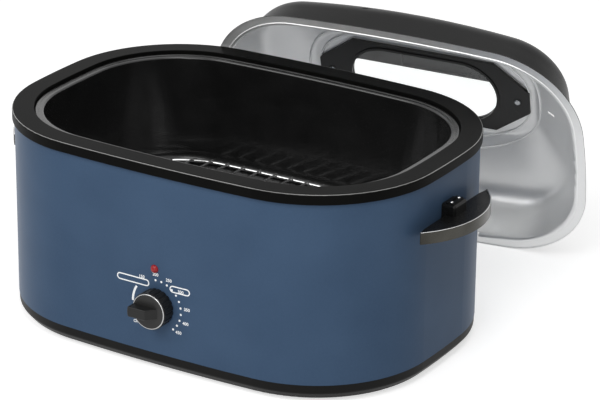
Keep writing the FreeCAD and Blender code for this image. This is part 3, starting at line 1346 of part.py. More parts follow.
def main():
    os.makedirs("parts", exist_ok=True)
    shift = middle_y()
    print("the whole set moves by", round(-shift, 4), "mm along Y")
    save("outer_wrap", outer_wrap(), shift)
    save("base_tray", base_tray(), shift)
    save("feet", feet(), shift)
    save("top_collar", top_collar(), shift)
    save("heating_well", heating_well(), shift)
    save("heating_band", heating_band(), shift)
    save("insulation_blanket", insulation_blanket(), shift)
    save("well_posts", well_posts(), shift)
    save("tray_screws", tray_screws(), shift)
    save("thermostat", thermostat(), shift)
    save("thermostat_screws", thermostat_screws(), shift)
    save("sensing_bulb", sensing_bulb(), shift)
    save("bulb_clips", bulb_clips(), shift)
    save("capillary_tube", capillary_tube(), shift)
    save("indicator_lens", indicator_lens(), shift)
    save("lamp_holder", lamp_holder(), shift)
    save("terminal_block", terminal_block(), shift)
    save("cord_bushing", cord_bushing(), shift)
    save("right_handle", right_handle(), shift)
    save("left_handle", mirrored(right_handle()), shift)
    save("right_handle_trim", right_handle_trim(), shift)
    save("left_handle_trim", mirrored(right_handle_trim()), shift)
    save("handle_back_plates", both_ends([back_plate()]), shift)
    save("handle_screws", both_ends([handle_screw(y) for y in handle_screw_ys()]), shift)
    save("control_knob", control_knob(), shift)
    save("knob_shaft", knob_shaft(), shift)
    save("roasting_pan", roasting_pan(), shift)
    save("wire_rack", wire_rack(), shift)
    save("lid_shell", parked(lid_shell()), shift)
    save("window_inner_frame", parked(window_inner_frame()), shift)
    save("window_outer_frame", parked(window_outer_frame()), shift)
    save("window_glass", parked(window_glass()), shift)
    save("window_gasket", parked(window_gasket()), shift)
    save("lid_grip", parked(lid_grip()), shift)
    save("lid_screws", parked(lid_screws()), shift)


main()
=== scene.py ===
"""Looks of the roaster oven: finishes, dial print, lid paint and pressed beads, studio and camera."""
import logging
import math
from dataclasses import dataclass, field
from enum import Enum
from typing import Callable, Optional

import bmesh
import bpy
from mathutils import Matrix, Vector
from mathutils.bvhtree import BVHTree


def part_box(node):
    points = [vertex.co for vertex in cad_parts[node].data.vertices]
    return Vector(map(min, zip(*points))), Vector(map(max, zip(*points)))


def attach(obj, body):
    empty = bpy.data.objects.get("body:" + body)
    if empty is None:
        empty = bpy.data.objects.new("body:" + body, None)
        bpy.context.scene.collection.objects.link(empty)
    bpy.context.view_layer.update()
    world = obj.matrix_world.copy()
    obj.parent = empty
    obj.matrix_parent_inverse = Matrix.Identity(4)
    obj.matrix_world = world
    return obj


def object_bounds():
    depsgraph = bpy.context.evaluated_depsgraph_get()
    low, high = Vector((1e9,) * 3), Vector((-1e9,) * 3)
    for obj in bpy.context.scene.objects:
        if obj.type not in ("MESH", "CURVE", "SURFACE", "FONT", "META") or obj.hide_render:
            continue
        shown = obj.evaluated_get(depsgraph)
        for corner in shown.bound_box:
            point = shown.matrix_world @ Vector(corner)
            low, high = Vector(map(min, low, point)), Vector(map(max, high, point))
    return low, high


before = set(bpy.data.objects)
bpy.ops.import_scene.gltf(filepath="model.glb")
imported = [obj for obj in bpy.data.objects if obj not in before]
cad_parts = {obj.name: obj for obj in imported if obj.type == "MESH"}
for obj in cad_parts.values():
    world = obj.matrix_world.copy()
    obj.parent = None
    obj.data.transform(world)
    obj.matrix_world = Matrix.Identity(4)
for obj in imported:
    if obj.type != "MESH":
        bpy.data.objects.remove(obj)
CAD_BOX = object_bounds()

LOG = logging.getLogger("roaster")
MM = 0.001

# The body's middle stands this far in front of the origin, in metres.
BODY_Y = -0.10617
# The body's oval: half sizes, and the radii of its long sides, its ends and its corners, in metres.
BODY_HALF_LENGTH = 0.280
BODY_HALF_WIDTH = 0.1974
SIDE_RADIUS = 2.408
END_RADIUS = 1.050
CORNER_RADIUS = 0.1538
# The knob's axis on the front wall, in metres.
KNOB_X = 0.004
KNOB_Z = 0.084
# Width of the picture, in pixels.
IMAGE_WIDTH = 600


def linear(hex_colour: str) -> tuple[float, float, float, float]:
    """Turn an sRGB hex colour into linear values.

    Args:
        hex_colour: Colour as six hex digits after a hash.

    Returns:
        Linear red, green and blue, and a full alpha.
    """
    values = []
    for start in (1, 3, 5):
        share = int(hex_colour[start:start + 2], 16) / 255.0
        values.append(share / 12.92 if share <= 0.04045 else ((share + 0.055) / 1.055) ** 2.4)
    return (values[0], values[1], values[2], 1.0)


def add_node(tree: bpy.types.NodeTree, kind: str, settings: Optional[dict] = None,
             links: Optional[dict] = None) -> bpy.types.Node:
    """Add one node with its settings and links.

    Args:
        tree: Tree that gets the node.
        kind: Blender's name of the node type.
        settings: Attribute names, or input names or numbers, with their values.
        links: Input names or numbers with the output socket that feeds each.

    Returns:
        The new node.
    """
    node = tree.nodes.new(kind)
    for key, value in (settings or {}).items():
        if isinstance(key, str) and hasattr(node, key):
            setattr(node, key, value)
        else:
            node.inputs[key].default_value = value
    for key, socket in (links or {}).items():
        tree.links.new(socket, node.inputs[key])
    return node


def seen_rays(tree: bpy.types.NodeTree) -> bpy.types.NodeSocket:
    """Tell the rays that see a thing from the ones that only light other things by it.

    Args:
        tree: Tree that gets the nodes.

    Returns:
        Output that is 1 for camera, transmission and glossy rays, and 0 for the rest.
    """
    path = add_node(tree, "ShaderNodeLightPath")
    seen = add_node(tree, "ShaderNodeMath", {"operation": "MAXIMUM"},
                    {0: path.outputs["Is Camera Ray"], 1: path.outputs["Is Transmission Ray"]})
    seen = add_node(tree, "ShaderNodeMath", {"operation": "MAXIMUM"},
                    {0: seen.outputs[0], 1: path.outputs["Is Glossy Ray"]})
    return seen.outputs[0]


def mesh_of(curve: bpy.types.Curve) -> bmesh.types.BMesh:
    """Turn a curve or characters into a mesh, and remove the curve.

    Args:
        curve: Curve data that is no longer needed.

    Returns:
        Its faces.
    """
    holder = bpy.data.objects.new(curve.name, curve)
    bpy.context.scene.collection.objects.link(holder)
    bpy.context.view_layer.update()
    data = bpy.data.meshes.new_from_object(holder)
    mesh = bmesh.new()
    mesh.from_mesh(data)
    bpy.data.objects.remove(holder)
    bpy.data.curves.remove(curve)
    bpy.data.meshes.remove(data)
    return mesh


def thicken(mesh: bmesh.types.BMesh, lift: Vector) -> None:
    """Raise flat faces into a solid.

    Args:
        mesh: Flat faces.
        lift: How far and which way the raised copy goes.
    """
    grown = bmesh.ops.extrude_face_region(mesh, geom=mesh.faces[:])
    lifted = [item for item in grown["geom"] if isinstance(item, bmesh.types.BMVert)]
    bmesh.ops.translate(mesh, verts=lifted, vec=lift)


class Surface(Enum):
    """How a surface was made, which sets the direction of its grain."""

    MOULDED = (1.0, 1.0, 1.0)
    SPRAYED = (1.0, 1.0, 0.8)
    BRUSHED = (0.04, 1.0, 1.0)
    ROLLED = (1.0, 0.12, 1.0)


@dataclass(frozen=True)
class Finish:
    """One real material with its colour, grain and gloss.

    The grain is a noise of a real size, which varies the colour and the roughness and makes the bump.
    """

    name: str
    colour: str
    shade: str
    roughness: float
    surface: Surface = Surface.MOULDED
    metallic: float = 0.0
    grain_mm: float = 1.2
    grain_depth: float = 0.12
    cloud_mm: float = 60.0
    rough_spread: float = 0.08
    coat: float = 0.0
    transmission: float = 0.0
    ior: float = 1.5
    glow: float = 0.0
    specular: float = 0.5

    def build(self) -> bpy.types.Material:
        """Make the node material.

        Returns:
            The material, with its grain in Object coordinates.
        """
        material = bpy.data.materials.new(self.name)
        material.use_nodes = True
        tree = material.node_tree
        tree.nodes.clear()
        place = add_node(tree, "ShaderNodeTexCoord")
        grain_scale = tuple(share / (self.grain_mm * MM) for share in self.surface.value)
        fine_map = add_node(tree, "ShaderNodeMapping", {"Scale": grain_scale},
                            {"Vector": place.outputs["Object"]})
        fine = add_node(tree, "ShaderNodeTexNoise", {"Scale": 1.0, "Detail": 3.0, "Roughness": 0.6},
                        {"Vector": fine_map.outputs[0]})
        cloud = add_node(tree, "ShaderNodeTexNoise", {"Scale": 1.0 / (self.cloud_mm * MM), "Detail": 2.0},
                         {"Vector": place.outputs["Object"]})
        both = add_node(tree, "ShaderNodeMath", {"operation": "MULTIPLY_ADD", 1: 0.45},
                        {0: fine.outputs[0], 2: cloud.outputs[0]})
        ramp = add_node(tree, "ShaderNodeMapRange", {"From Min": 0.45, "From Max": 1.0},
                        {"Value": both.outputs[0]})
        mix = add_node(tree, "ShaderNodeMix", {"data_type": "RGBA"}, {"Factor": ramp.outputs[0]})
        mix.inputs[6].default_value = linear(self.colour)
        mix.inputs[7].default_value = linear(self.shade)
        rough = add_node(tree, "ShaderNodeMapRange",
                         {"From Min": 0.3, "From Max": 0.7,
                          "To Min": max(self.roughness - self.rough_spread, 0.02),
                          "To Max": min(self.roughness + self.rough_spread, 1.0)}, {"Value": fine.outputs[0]})
        bump = add_node(tree, "ShaderNodeBump", {"Strength": self.grain_depth, "Distance": 0.0002},
                        {"Height": fine.outputs[0]})
        shader = add_node(tree, "ShaderNodeBsdfPrincipled",
                          {"Metallic": self.metallic, "Coat Weight": self.coat, "Coat Roughness": 0.12,
                           "Transmission Weight": self.transmission},
                          {"Base Color": mix.outputs[2], "Roughness": rough.outputs[0],
                           "Normal": bump.outputs[0]})
        if self.metallic == 0.0:
            shader.inputs["IOR"].default_value = self.ior
            shader.inputs["Specular IOR Level"].default_value = self.specular
        if self.glow > 0.0:
            shader.inputs["Emission Color"].default_value = linear(self.colour)
            shader.inputs["Emission Strength"].default_value = self.glow
        add_node(tree, "ShaderNodeOutputMaterial", {}, {"Surface": shader.outputs[0]})
        return material


# Steel sprayed with blue enamel paint: smooth, with a soft sheen and faint orange peel.
BLUE_PAINT = Finish("sprayed_blue_enamel", "#3E536D", "#465C77", 0.36, Surface.SPRAYED, 0.0, 2.5, 0.02,
                    90.0, 0.02, 0.0, specular=0.07)
# Enamel fired on the pan: black, glossy, finely speckled.
BLACK_ENAMEL = Finish("fired_black_enamel", "#0F0F0F", "#191919", 0.22, Surface.MOULDED, 0.0, 1.5, 0.10,
                      30.0, 0.06, 0.3, specular=0.4)
# Phenolic collar: dense black moulding with a satin skin.
RIM_MOULDING = Finish("moulded_phenolic_rim", "#0A0A0A", "#0F0F0E", 0.42, grain_mm=1.0, grain_depth=0.04,
                      specular=0.03)
# Polypropylene base: warm black, slightly textured.
BASE_MOULDING = Finish("moulded_polypropylene_base", "#0A0A09", "#100F0E", 0.45, grain_mm=0.8,
                       grain_depth=0.1, specular=0.12)
# Silicone rubber feet and seal: matte.
RUBBER = Finish("moulded_silicone_rubber", "#151515", "#1D1D1D", 0.75, grain_mm=0.7, grain_depth=0.2)
# Galvanised sheet steel: grey with large soft spangles.
GALVANISED = Finish("galvanised_sheet_steel", "#8E9294", "#A5A9AB", 0.38, Surface.ROLLED, 1.0, 4.0, 0.08,
                    18.0)
# Heater band: steel that heat has browned.
HEATER_STEEL = Finish("heat_browned_steel", "#6C6259", "#857668", 0.45, Surface.ROLLED, 1.0, 2.0, 0.1, 25.0)
# Glass fibre blanket: off-white, loose and soft, its tufts drawn 3 mm wide so that they show.
FIBRE = Finish("needled_glass_fibre", "#CFC8B8", "#E5E0D4", 0.95, grain_mm=3.0, grain_depth=0.9)
# Thermostat's case: brown phenolic.
THERMOSTAT_CASE = Finish("moulded_brown_phenolic", "#2E241C", "#3D3026", 0.5)
# Zinc plated steel: screws, plates and clips.
ZINC = Finish("zinc_plated_steel", "#9DA0A2", "#B4B6B8", 0.32, Surface.MOULDED, 1.0, 1.0, 0.08)
# Copper bulb and capillary.
COPPER = Finish("drawn_copper", "#B4693F", "#C98458", 0.3, Surface.BRUSHED, 1.0, 0.6, 0.08)
# Polycarbonate lens, tinted red; its faint glow is a painted highlight that brightens the lens.
RED_LENS = Finish("tinted_red_polycarbonate_painted_glow", "#8C040B", "#A00710", 0.1, grain_mm=2.0, grain_depth=0.02,
                  coat=0.25, glow=0.1, specular=0.25)
# White nylon lamp holder.
WHITE_NYLON = Finish("moulded_white_nylon", "#C9C7C0", "#D8D6D0", 0.5)
# Steatite terminal block: pale, dense, unglazed.
STEATITE = Finish("fired_steatite", "#D2CCBF", "#DFDACE", 0.6, grain_mm=0.8, grain_depth=0.15)
# Side handles: phenolic, black, satin.
HANDLE_MOULDING = Finish("moulded_phenolic_handle", "#0C0C0C", "#131313", 0.3, grain_mm=0.9, grain_depth=0.06,
                         specular=0.18)
# Handle trim: steel strip with a dark brushed face; its bright upper edge is a painted highlight.
TRIM_METAL = Finish("dark_brushed_steel_trim", "#2E2D2A", "#4C4B47", 0.30, Surface.BRUSHED, 1.0, 0.9, 0.10)
# Bright steel: a painted highlight along the trim's edge, and the studs on the neck, which are partly a
# painted highlight of its glints.
BRIGHT_STEEL_AND_HIGHLIGHT = Finish("bright_steel_studs_and_edge_highlight", "#D0D0D0", "#E4E4E4", 0.2, Surface.MOULDED, 1.0, 0.8, 0.03)
# Knob's face: grey satin insert.
KNOB_FACE = Finish("moulded_grey_insert", "#262625", "#303030", 0.34, grain_mm=0.6, grain_depth=0.05,
                   specular=0.25)
# Collar's outer edge: a painted highlight, the same moulding drawn light grey and glossy as a line of shine.
RIM_EDGE_HIGHLIGHT = Finish("phenolic_edge_painted_highlight", "#6A6A68", "#7C7C7A", 0.22, grain_mm=1.0, grain_depth=0.04,
                  coat=0.5)
# Knob: phenolic with a fine matt skin.
KNOB_MOULDING = Finish("moulded_phenolic_knob", "#171717", "#1F1F1E", 0.36, grain_mm=0.7, grain_depth=0.06,
                       specular=0.25)
# Knob's ring: bright anodised aluminium.
KNOB_RING = Finish("anodised_aluminium_ring", "#A9A9A9", "#C4C4C4", 0.22, Surface.MOULDED, 1.0, 0.6, 0.04)
# Shaft: turned steel.
SHAFT_STEEL = Finish("turned_steel", "#A0A0A0", "#B8B8B8", 0.28, Surface.ROLLED, 1.0, 0.5, 0.1)
# Rack: chrome plated wire.
CHROME = Finish("chrome_plated_wire", "#BDBDBD", "#D2D2D2", 0.12, Surface.MOULDED, 1.0, 1.0, 0.03)
# Lid's inside: drawn aluminium, brightened, with a faint drawn grain.
LID_ALUMINIUM = Finish("drawn_bright_aluminium", "#EEEFEF", "#F6F6F6", 0.36, Surface.SPRAYED, 0.6, 0.8, 0.02,
                       70.0, 0.03)
# Lid's outside: black paint baked on the aluminium.
LID_PAINT = Finish("baked_black_paint", "#0A0A0A", "#0F0F0F", 0.36, grain_mm=1.6, grain_depth=0.03,
                   specular=0.2)
# Window frames and lid's grip: black nylon, satin.
FRAME_NYLON = Finish("moulded_black_nylon", "#101010", "#181818", 0.34, grain_mm=1.0, grain_depth=0.05,
                     specular=0.35)
# Window: toughened float glass.
WINDOW_GLASS = Finish("toughened_float_glass", "#F4F7F6", "#FBFCFC", 0.02, grain_mm=20.0, grain_depth=0.0,
                      rough_spread=0.0, transmission=1.0, ior=1.45)
# Dial print: white epoxy ink, with a faint glow that is painted light keeping the print bright.
WHITE_INK_WITH_PAINTED_GLOW = Finish("screened_white_ink_painted_glow", "#EDEFF0", "#F7F8F8", 0.5, grain_mm=0.6, grain_depth=0.05, glow=0.15)

NODE_FINISHES: dict[str, Finish] = {
    "outer_wrap": BLUE_PAINT, "base_tray": BASE_MOULDING, "feet": RUBBER, "top_collar": RIM_MOULDING,
    "heating_well": GALVANISED, "heating_band": HEATER_STEEL, "insulation_blanket": FIBRE,
    "well_posts": ZINC, "tray_screws": ZINC, "thermostat": THERMOSTAT_CASE, "thermostat_screws": ZINC,
    "sensing_bulb": COPPER, "bulb_clips": ZINC, "capillary_tube": COPPER, "indicator_lens": RED_LENS,
    "lamp_holder": WHITE_NYLON, "terminal_block": STEATITE, "cord_bushing": RUBBER,
    "right_handle": HANDLE_MOULDING, "left_handle": HANDLE_MOULDING, "right_handle_trim": TRIM_METAL,
    "left_handle_trim": TRIM_METAL, "handle_back_plates": ZINC, "handle_screws": ZINC,
    "control_knob": KNOB_MOULDING, "knob_shaft": SHAFT_STEEL, "roasting_pan": BLACK_ENAMEL,
    "wire_rack": CHROME, "lid_shell": LID_ALUMINIUM, "window_inner_frame": FRAME_NYLON,
    "window_outer_frame": FRAME_NYLON, "window_glass": WINDOW_GLASS, "window_gasket": RUBBER,
    "lid_grip": FRAME_NYLON, "lid_screws": ZINC,
}


@dataclass
class Workshop:
    """Makes each finish once, and turns meshes into pieces that ride on a body."""

    made: dict[str, bpy.types.Material] = field(default_factory=dict)

    def material(self, finish: Finish) -> bpy.types.Material:
        """Give the finish's material, made at its first use.

        Args:
            finish: Finish wanted.

        Returns:
            Its material.
        """
        if finish.name not in self.made:
            self.made[finish.name] = finish.build()
        return self.made[finish.name]

    def dress_nodes(self) -> None:
        """Give every CAD node its finish."""
        for name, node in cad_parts.items():
            node.data.materials.clear()
            node.data.materials.append(self.material(NODE_FINISHES[name]))
            LOG.info("dressed %s", name)

    def piece(self, name: str, mesh: bmesh.types.BMesh, finish: Finish, body: str, slot: str,
              smooth: bool = True) -> bpy.types.Object:
        """Turn a finished bmesh into a piece.

        Args:
            name: Name of the piece.
            mesh: Shape in the frame, in metres. It is freed.
            finish: What it is made of.
            body: CAD body that it moves with.
            slot: Material slot of the record that the finish belongs to. It is not used.
            smooth: Whether its faces are shaded smooth.

        Returns:
            The piece's object.
        """
        data = bpy.data.meshes.new(name)
        for face in mesh.faces:
            face.smooth = smooth
        mesh.to_mesh(data)
        mesh.free()
        data.materials.append(self.material(finish))
        piece = bpy.data.objects.new(name, data)
        bpy.context.scene.collection.objects.link(piece)
        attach(piece, body)
        LOG.info("made %s with %d faces on %s", name, len(data.polygons), body)
        return piece


def oval_points(half_length: float, half_width: float, side: float, end: float, corner: float,
                height: float, steps: int = 16) -> list[Vector]:
    """Give points round the body's oval, which is made of eight tangent arcs.

    Args:
        half_length: Half of its length along X.
        half_width: Half of its width along Y.
        side: Radius of the long sides.
        end: Radius of the short ends.
        corner: Radius of the corners.
        height: Z of the points.
        steps: Points on each corner and on each half side or half end.

    Returns:
        Points in order, counter-clockwise from the +X end, about the body's middle.
    """
    low = Vector((half_length - end, 0.0))
    high = Vector((0.0, half_width - side))
    span = low - high
    along = ((side - corner) ** 2 - (end - corner) ** 2 + span.length ** 2) / (2 * span.length)
    across = math.sqrt((side - corner) ** 2 - along ** 2)
    unit = span.normalized()
    middle = high + unit * along + Vector((unit.y, -unit.x)) * across
    if middle.x < 0.0:
        middle = high + unit * along - Vector((unit.y, -unit.x)) * across
    first = math.atan2(middle.y, middle.x - low.x)
    last = math.atan2(middle.y - high.y, middle.x)
    quarter = []
    for centre, radius, start, stop in ((low, end, 0.0, first), (middle, corner, first, last),
                                        (high, side, last, math.pi / 2)):
        for step in range(steps):
            turn = start + (stop - start) * step / steps
            quarter.append(Vector((centre.x + radius * math.cos(turn), centre.y + radius * math.sin(turn),
                                   height)))
    quarter.append(Vector((0.0, half_width, height)))
    back = [Vector((-point.x, point.y, height)) for point in reversed(quarter[:-1])]
    upper = quarter + back
    return upper + [Vector((point.x, -point.y, height)) for point in reversed(upper[1:-1])]


def tube(points: list[Vector], radius: float, closed: bool) -> bmesh.types.BMesh:
    """Make a round tube through points.

    Args:
        points: Its middle line.
        radius: Its radius.
        closed: Whether its end meets its start.

    Returns:
        The tube.
    """
    curve = bpy.data.curves.new("tube", "CURVE")
    curve.dimensions = "3D"
    curve.bevel_depth = radius
    curve.bevel_resolution = 3
    curve.use_fill_caps = not closed
    spline = curve.splines.new("POLY")
    spline.points.add(len(points) - 1)
    for index, point in enumerate(points):
        spline.points[index].co = (*point, 1.0)
    spline.use_cyclic_u = closed
    mesh = mesh_of(curve)
    bmesh.ops.remove_doubles(mesh, verts=mesh.verts, dist=1e-7)
    return mesh


@dataclass
class CollarEdgeHighlight:
    """Painted highlight: a light grey line along the collar's outer top edge."""

    shop: Workshop
    overhang: float = 0.0028
    height: float = 0.262
    edge_radius: float = 0.0024
    line_radius: float = 0.0007
    sunk_share: float = 0.45

    def make(self) -> None:
        """Lay the painted highlight line half sunk in the rounded edge."""
        sunk = self.edge_radius * (1.0 - math.sqrt(0.5)) + self.line_radius * self.sunk_share
        grow = self.overhang - sunk
        points = oval_points(BODY_HALF_LENGTH + grow, BODY_HALF_WIDTH + grow, SIDE_RADIUS + grow,
                             END_RADIUS + grow, CORNER_RADIUS + grow, self.height - sunk)
        mesh = tube([point + Vector((0, BODY_Y, 0)) for point in points], self.line_radius, True)
        self.shop.piece("collar_edge_highlight", mesh, RIM_EDGE_HIGHLIGHT, "oven", "rim_black")


def front_wall_y(x: float) -> float:
    """Give the Y of the painted front wall at a place along it.

    Args:
        x: Place along the wall, in metres from its middle.

    Returns:
        Its Y, in metres.
    """
    return BODY_Y - (BODY_HALF_WIDTH - SIDE_RADIUS + math.sqrt(SIDE_RADIUS ** 2 - x ** 2))


@dataclass
class DialPrint:
    """White print round the knob: dots, plain numbers, OFF, an arc and two bare panels.

    Angles are in degrees from +X, counter-clockwise as seen from the front. Lengths are in metres.
    """

    shop: Workshop
    ink_depth: float = 0.00012
    ink_gap: float = 0.00003
    dot_reach: float = 0.0329
    dot_radius: float = 0.0014
    dot_count: int = 11
    dot_first: float = 94.1
    dot_step: float = 14.24
    number_height: float = 0.0040
    size_per_height: float = 1.38
    stroke_growth: float = 0.00012
    off_place: tuple[float, float] = (-138.0, 0.0400)
    arc_first: float = 147.0
    arc_sweep: float = 34.0
    arc_reach: float = 0.035
    arc_steps: int = 12
    arc_width: float = 0.0028
    panel_width: float = 0.0015
    panel_radius: float = 0.0037
    panel_steps: int = 8
    panels: tuple[tuple[str, float, float, float], ...] = (
        ("left", -0.053, -0.008, 0.1105), ("right", 0.022, 0.049, 0.111))
    numbers: tuple[tuple[str, float, float], ...] = (
        ("150", 124.0, 0.0395), ("200", 93.5, 0.0400), ("250", 66.0, 0.0400), ("300", 38.0, 0.0415),
        ("350", 6.8, 0.0415), ("400", -18.9, 0.0415), ("450", -42.8, 0.0400))

    def wrap(self, mesh: bmesh.types.BMesh) -> bmesh.types.BMesh:
        """Lay a flat shape, drawn in X and Z with its height as Y, on the curved wall.

        Args:
            mesh: Shape whose Y is its height off the wall.

        Returns:
            The same shape on the wall.
        """
        for vertex in mesh.verts:
            vertex.co.y = front_wall_y(vertex.co.x) - self.ink_gap - vertex.co.y
        bmesh.ops.recalc_face_normals(mesh, faces=mesh.faces)
        return mesh

    def at(self, angle: float, reach: float) -> Vector:
        """Give a point round the knob.

        Args:
            angle: Its angle.
            reach: Its distance from the knob's axis.

        Returns:
            The point in X and Z.
        """
        turn = math.radians(angle)
        return Vector((KNOB_X + reach * math.cos(turn), 0.0, KNOB_Z + reach * math.sin(turn)))

    def printed(self, name: str, mesh: bmesh.types.BMesh) -> None:
        """Lay a flat shape on the wall as white ink.

        Args:
            name: Name of the piece.
            mesh: The flat shape.
        """
        self.shop.piece(name, self.wrap(mesh), WHITE_INK_WITH_PAINTED_GLOW, "oven", "white_moulding", False)

    def dots(self) -> None:
        """Print the row of dots round the knob's right."""
        mesh = bmesh.new()
        for index in range(self.dot_count):
            place = self.at(self.dot_first - index * self.dot_step, self.dot_reach)
            upright = (Matrix.Translation(place + Vector((0, self.ink_depth / 2, 0)))
                       @ Matrix.Rotation(math.pi / 2, 4, "X"))
            bmesh.ops.create_cone(mesh, cap_ends=True, segments=16, radius1=self.dot_radius,
                                  radius2=self.dot_radius, depth=self.ink_depth, matrix=upright)
        self.printed("dial_dots", mesh)

    def text(self, words: str, place: Vector, height: float) -> bmesh.types.BMesh:
        """Make plain characters standing upright on the wall's plane.

        Args:
            words: Characters to print.
            place: Their middle.
            height: Height of the characters.

        Returns:
            The characters as a flat solid whose Y is its height.
        """
        curve = bpy.data.curves.new("characters", "FONT")
        curve.body = words
        curve.size = height * self.size_per_height
        curve.align_x = "CENTER"
        curve.align_y = "CENTER"
        curve.resolution_u = 3
        curve.offset = self.stroke_growth
        mesh = mesh_of(curve)
        thicken(mesh, Vector((0, 0, self.ink_depth)))
        upright = Matrix(((1, 0, 0, place.x), (0, 0, 1, 0), (0, 1, 0, place.z), (0, 0, 0, 1)))
        bmesh.ops.transform(mesh, matrix=upright, verts=mesh.verts)
        return mesh

    def characters(self) -> None:
        """Print the numbers, and OFF at the lower left."""
        for words, angle, reach in (*self.numbers, ("OFF", *self.off_place)):
            self.printed(f"dial_{words.lower()}", self.text(words, self.at(angle, reach), self.number_height))

    def band(self, points: list[Vector], width: float) -> bmesh.types.BMesh:
        """Make a printed line through points.

        Args:
            points: Middle line in X and Z. A loop repeats its first point.
            width: Width of the line.

        Returns:
            The line as a thin flat solid.
        """
        mesh = bmesh.new()
        closed = (points[0] - points[-1]).length < 1e-6
        rows = []
        for index, point in enumerate(points[:-1] if closed else points):
            before = points[index - 1] if index else (points[-2] if closed else points[0])
            after = points[min(index + 1, len(points) - 1)]
            along = (after - before).normalized()
            across = Vector((-along.z, 0, along.x)) * width / 2
            rows.append([mesh.verts.new(point + across), mesh.verts.new(point - across)])
        pairs = list(zip(rows, rows[1:])) + ([(rows[-1], rows[0])] if closed else [])
        for first, second in pairs:
            mesh.faces.new((first[0], second[0], second[1], first[1]))
        thicken(mesh, Vector((0, self.ink_depth, 0)))
        return mesh

    def lines(self) -> None:
        """Print the arc at the knob's left and the two bare panels beside the lamp."""
        arc = [self.at(self.arc_first + self.arc_sweep * step / self.arc_steps, self.arc_reach)
               for step in range(self.arc_steps + 1)]
        self.printed("dial_arc", self.band(arc, self.arc_width))
        for name, left, right, middle in self.panels:
            loop = []
            for end, start in ((right - self.panel_radius, -90.0), (left + self.panel_radius, 90.0)):
                for step in range(self.panel_steps + 1):
                    turn = math.radians(start + 180.0 * step / self.panel_steps)
                    loop.append(Vector((end + self.panel_radius * math.cos(turn), 0,
                                        middle + self.panel_radius * math.sin(turn))))
            loop.append(loop[0].copy())
            self.printed(f"{name}_panel_line", self.band(loop, self.panel_width))

    def make(self) -> None:
        """Print everything on the front wall."""
        self.dots()
        self.characters()
        self.lines()


@dataclass
class KnobTrim:
    """Bright ring let into the knob's bevel, and the grey face inside it."""

    shop: Workshop
    face_depth: float = 0.0185
    ring_radius: float = 0.0213
    ring_wire: float = 0.0009
    ring_set_back: float = 0.0008
    insert_gap: float = 0.0006
    insert_bevel: float = 0.0003
    insert_thickness: float = 0.0004

    def face_y(self) -> float:
        """Give the Y of the knob's face, measured from the back of its skirt.

        Returns:
            The Y, in metres.
        """
        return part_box("control_knob")[1].y - self.face_depth

    def ring(self) -> None:
        """Spin a small round section about the knob's axis."""
        mesh = bmesh.new()
        start = Vector((KNOB_X + self.ring_radius, self.face_y() + self.ring_set_back, KNOB_Z))
        made = bmesh.ops.create_circle(mesh, segments=10, radius=self.ring_wire,
                                       matrix=Matrix.Translation(start))
        bmesh.ops.spin(mesh, geom=made["verts"] + mesh.edges[:], cent=(KNOB_X, self.face_y(), KNOB_Z),
                       axis=(0, 1, 0), angle=2 * math.pi, steps=96, use_merge=True)
        bmesh.ops.recalc_face_normals(mesh, faces=mesh.faces)
        self.shop.piece("knob_ring", mesh, KNOB_RING, "knob", "handle_trim_metal")

    def insert(self) -> None:
        """Make the grey insert that the grip stands through."""
        mesh = bmesh.new()
        back = self.ring_radius - self.insert_gap
        turn = Matrix.Translation((KNOB_X, self.face_y(), KNOB_Z)) @ Matrix.Rotation(math.pi / 2, 4, "X")
        bmesh.ops.create_cone(mesh, cap_ends=True, segments=96, radius1=back,
                              radius2=back - self.insert_bevel, depth=self.insert_thickness, matrix=turn)
        self.shop.piece("knob_face", mesh, KNOB_FACE, "knob", "knob_black", False)

    def make(self) -> None:
        """Make the knob's trim."""
        self.ring()
        self.insert()


@dataclass
class HandleTrim:
    """Bright studs on each handle's neck, partly a painted highlight, and a painted highlight on its trim's
    upper edge.
    """

    shop: Workshop
    stud_x: float = 0.2895
    stud_half_span: float = 0.0085
    stud_radius: float = 0.0021
    stud_flatness: float = 0.55
    stud_z: float = 0.2151
    half_chord: float = 0.0804
    end_x: float = 0.2892
    bow: float = 0.0331
    strip_top: float = 0.2012
    edge_wire: float = 0.0008
    edge_sunk_share: float = 0.6
    edge_steps: int = 40

    def make(self) -> None:
        """Set two bright studs on each neck and lay a painted highlight along each strip's edge."""
        for name, side in (("right", 1.0), ("left", -1.0)):
            mesh = bmesh.new()
            for across in (-1.0, 1.0):
                place = Vector((side * self.stud_x, BODY_Y + across * self.stud_half_span, self.stud_z))
                squash = Matrix.Diagonal((1.0, 1.0, self.stud_flatness, 1.0))
                bmesh.ops.create_uvsphere(mesh, u_segments=20, v_segments=12, radius=self.stud_radius,
                                          matrix=Matrix.Translation(place) @ squash)
            self.shop.piece(f"{name}_handle_studs", mesh, BRIGHT_STEEL_AND_HIGHLIGHT, "oven", "handle_trim_metal")
            self.edge(name, side)

    def edge(self, name: str, side: float) -> None:
        """Run the painted highlight, a bright wire, along the strip's upper outer corner.

        Args:
            name: Which handle.
            side: 1 for the right one and -1 for the left.
        """
        radius = (self.half_chord ** 2 + self.bow ** 2) / (2 * self.bow)
        centre = self.end_x + self.bow - radius
        half = math.asin(self.half_chord / radius)
        reach = radius - self.edge_wire
        height = self.strip_top - self.edge_wire * self.edge_sunk_share
        points = []
        for step in range(self.edge_steps + 1):
            turn = half * (2 * step / self.edge_steps - 1.0)
            points.append(Vector((side * (centre + reach * math.cos(turn)), BODY_Y + reach * math.sin(turn),
                                  height)))
        self.shop.piece(f"{name}_trim_edge_highlight", tube(points, self.edge_wire, False), BRIGHT_STEEL_AND_HIGHLIGHT, "oven",
                        "handle_trim_metal")


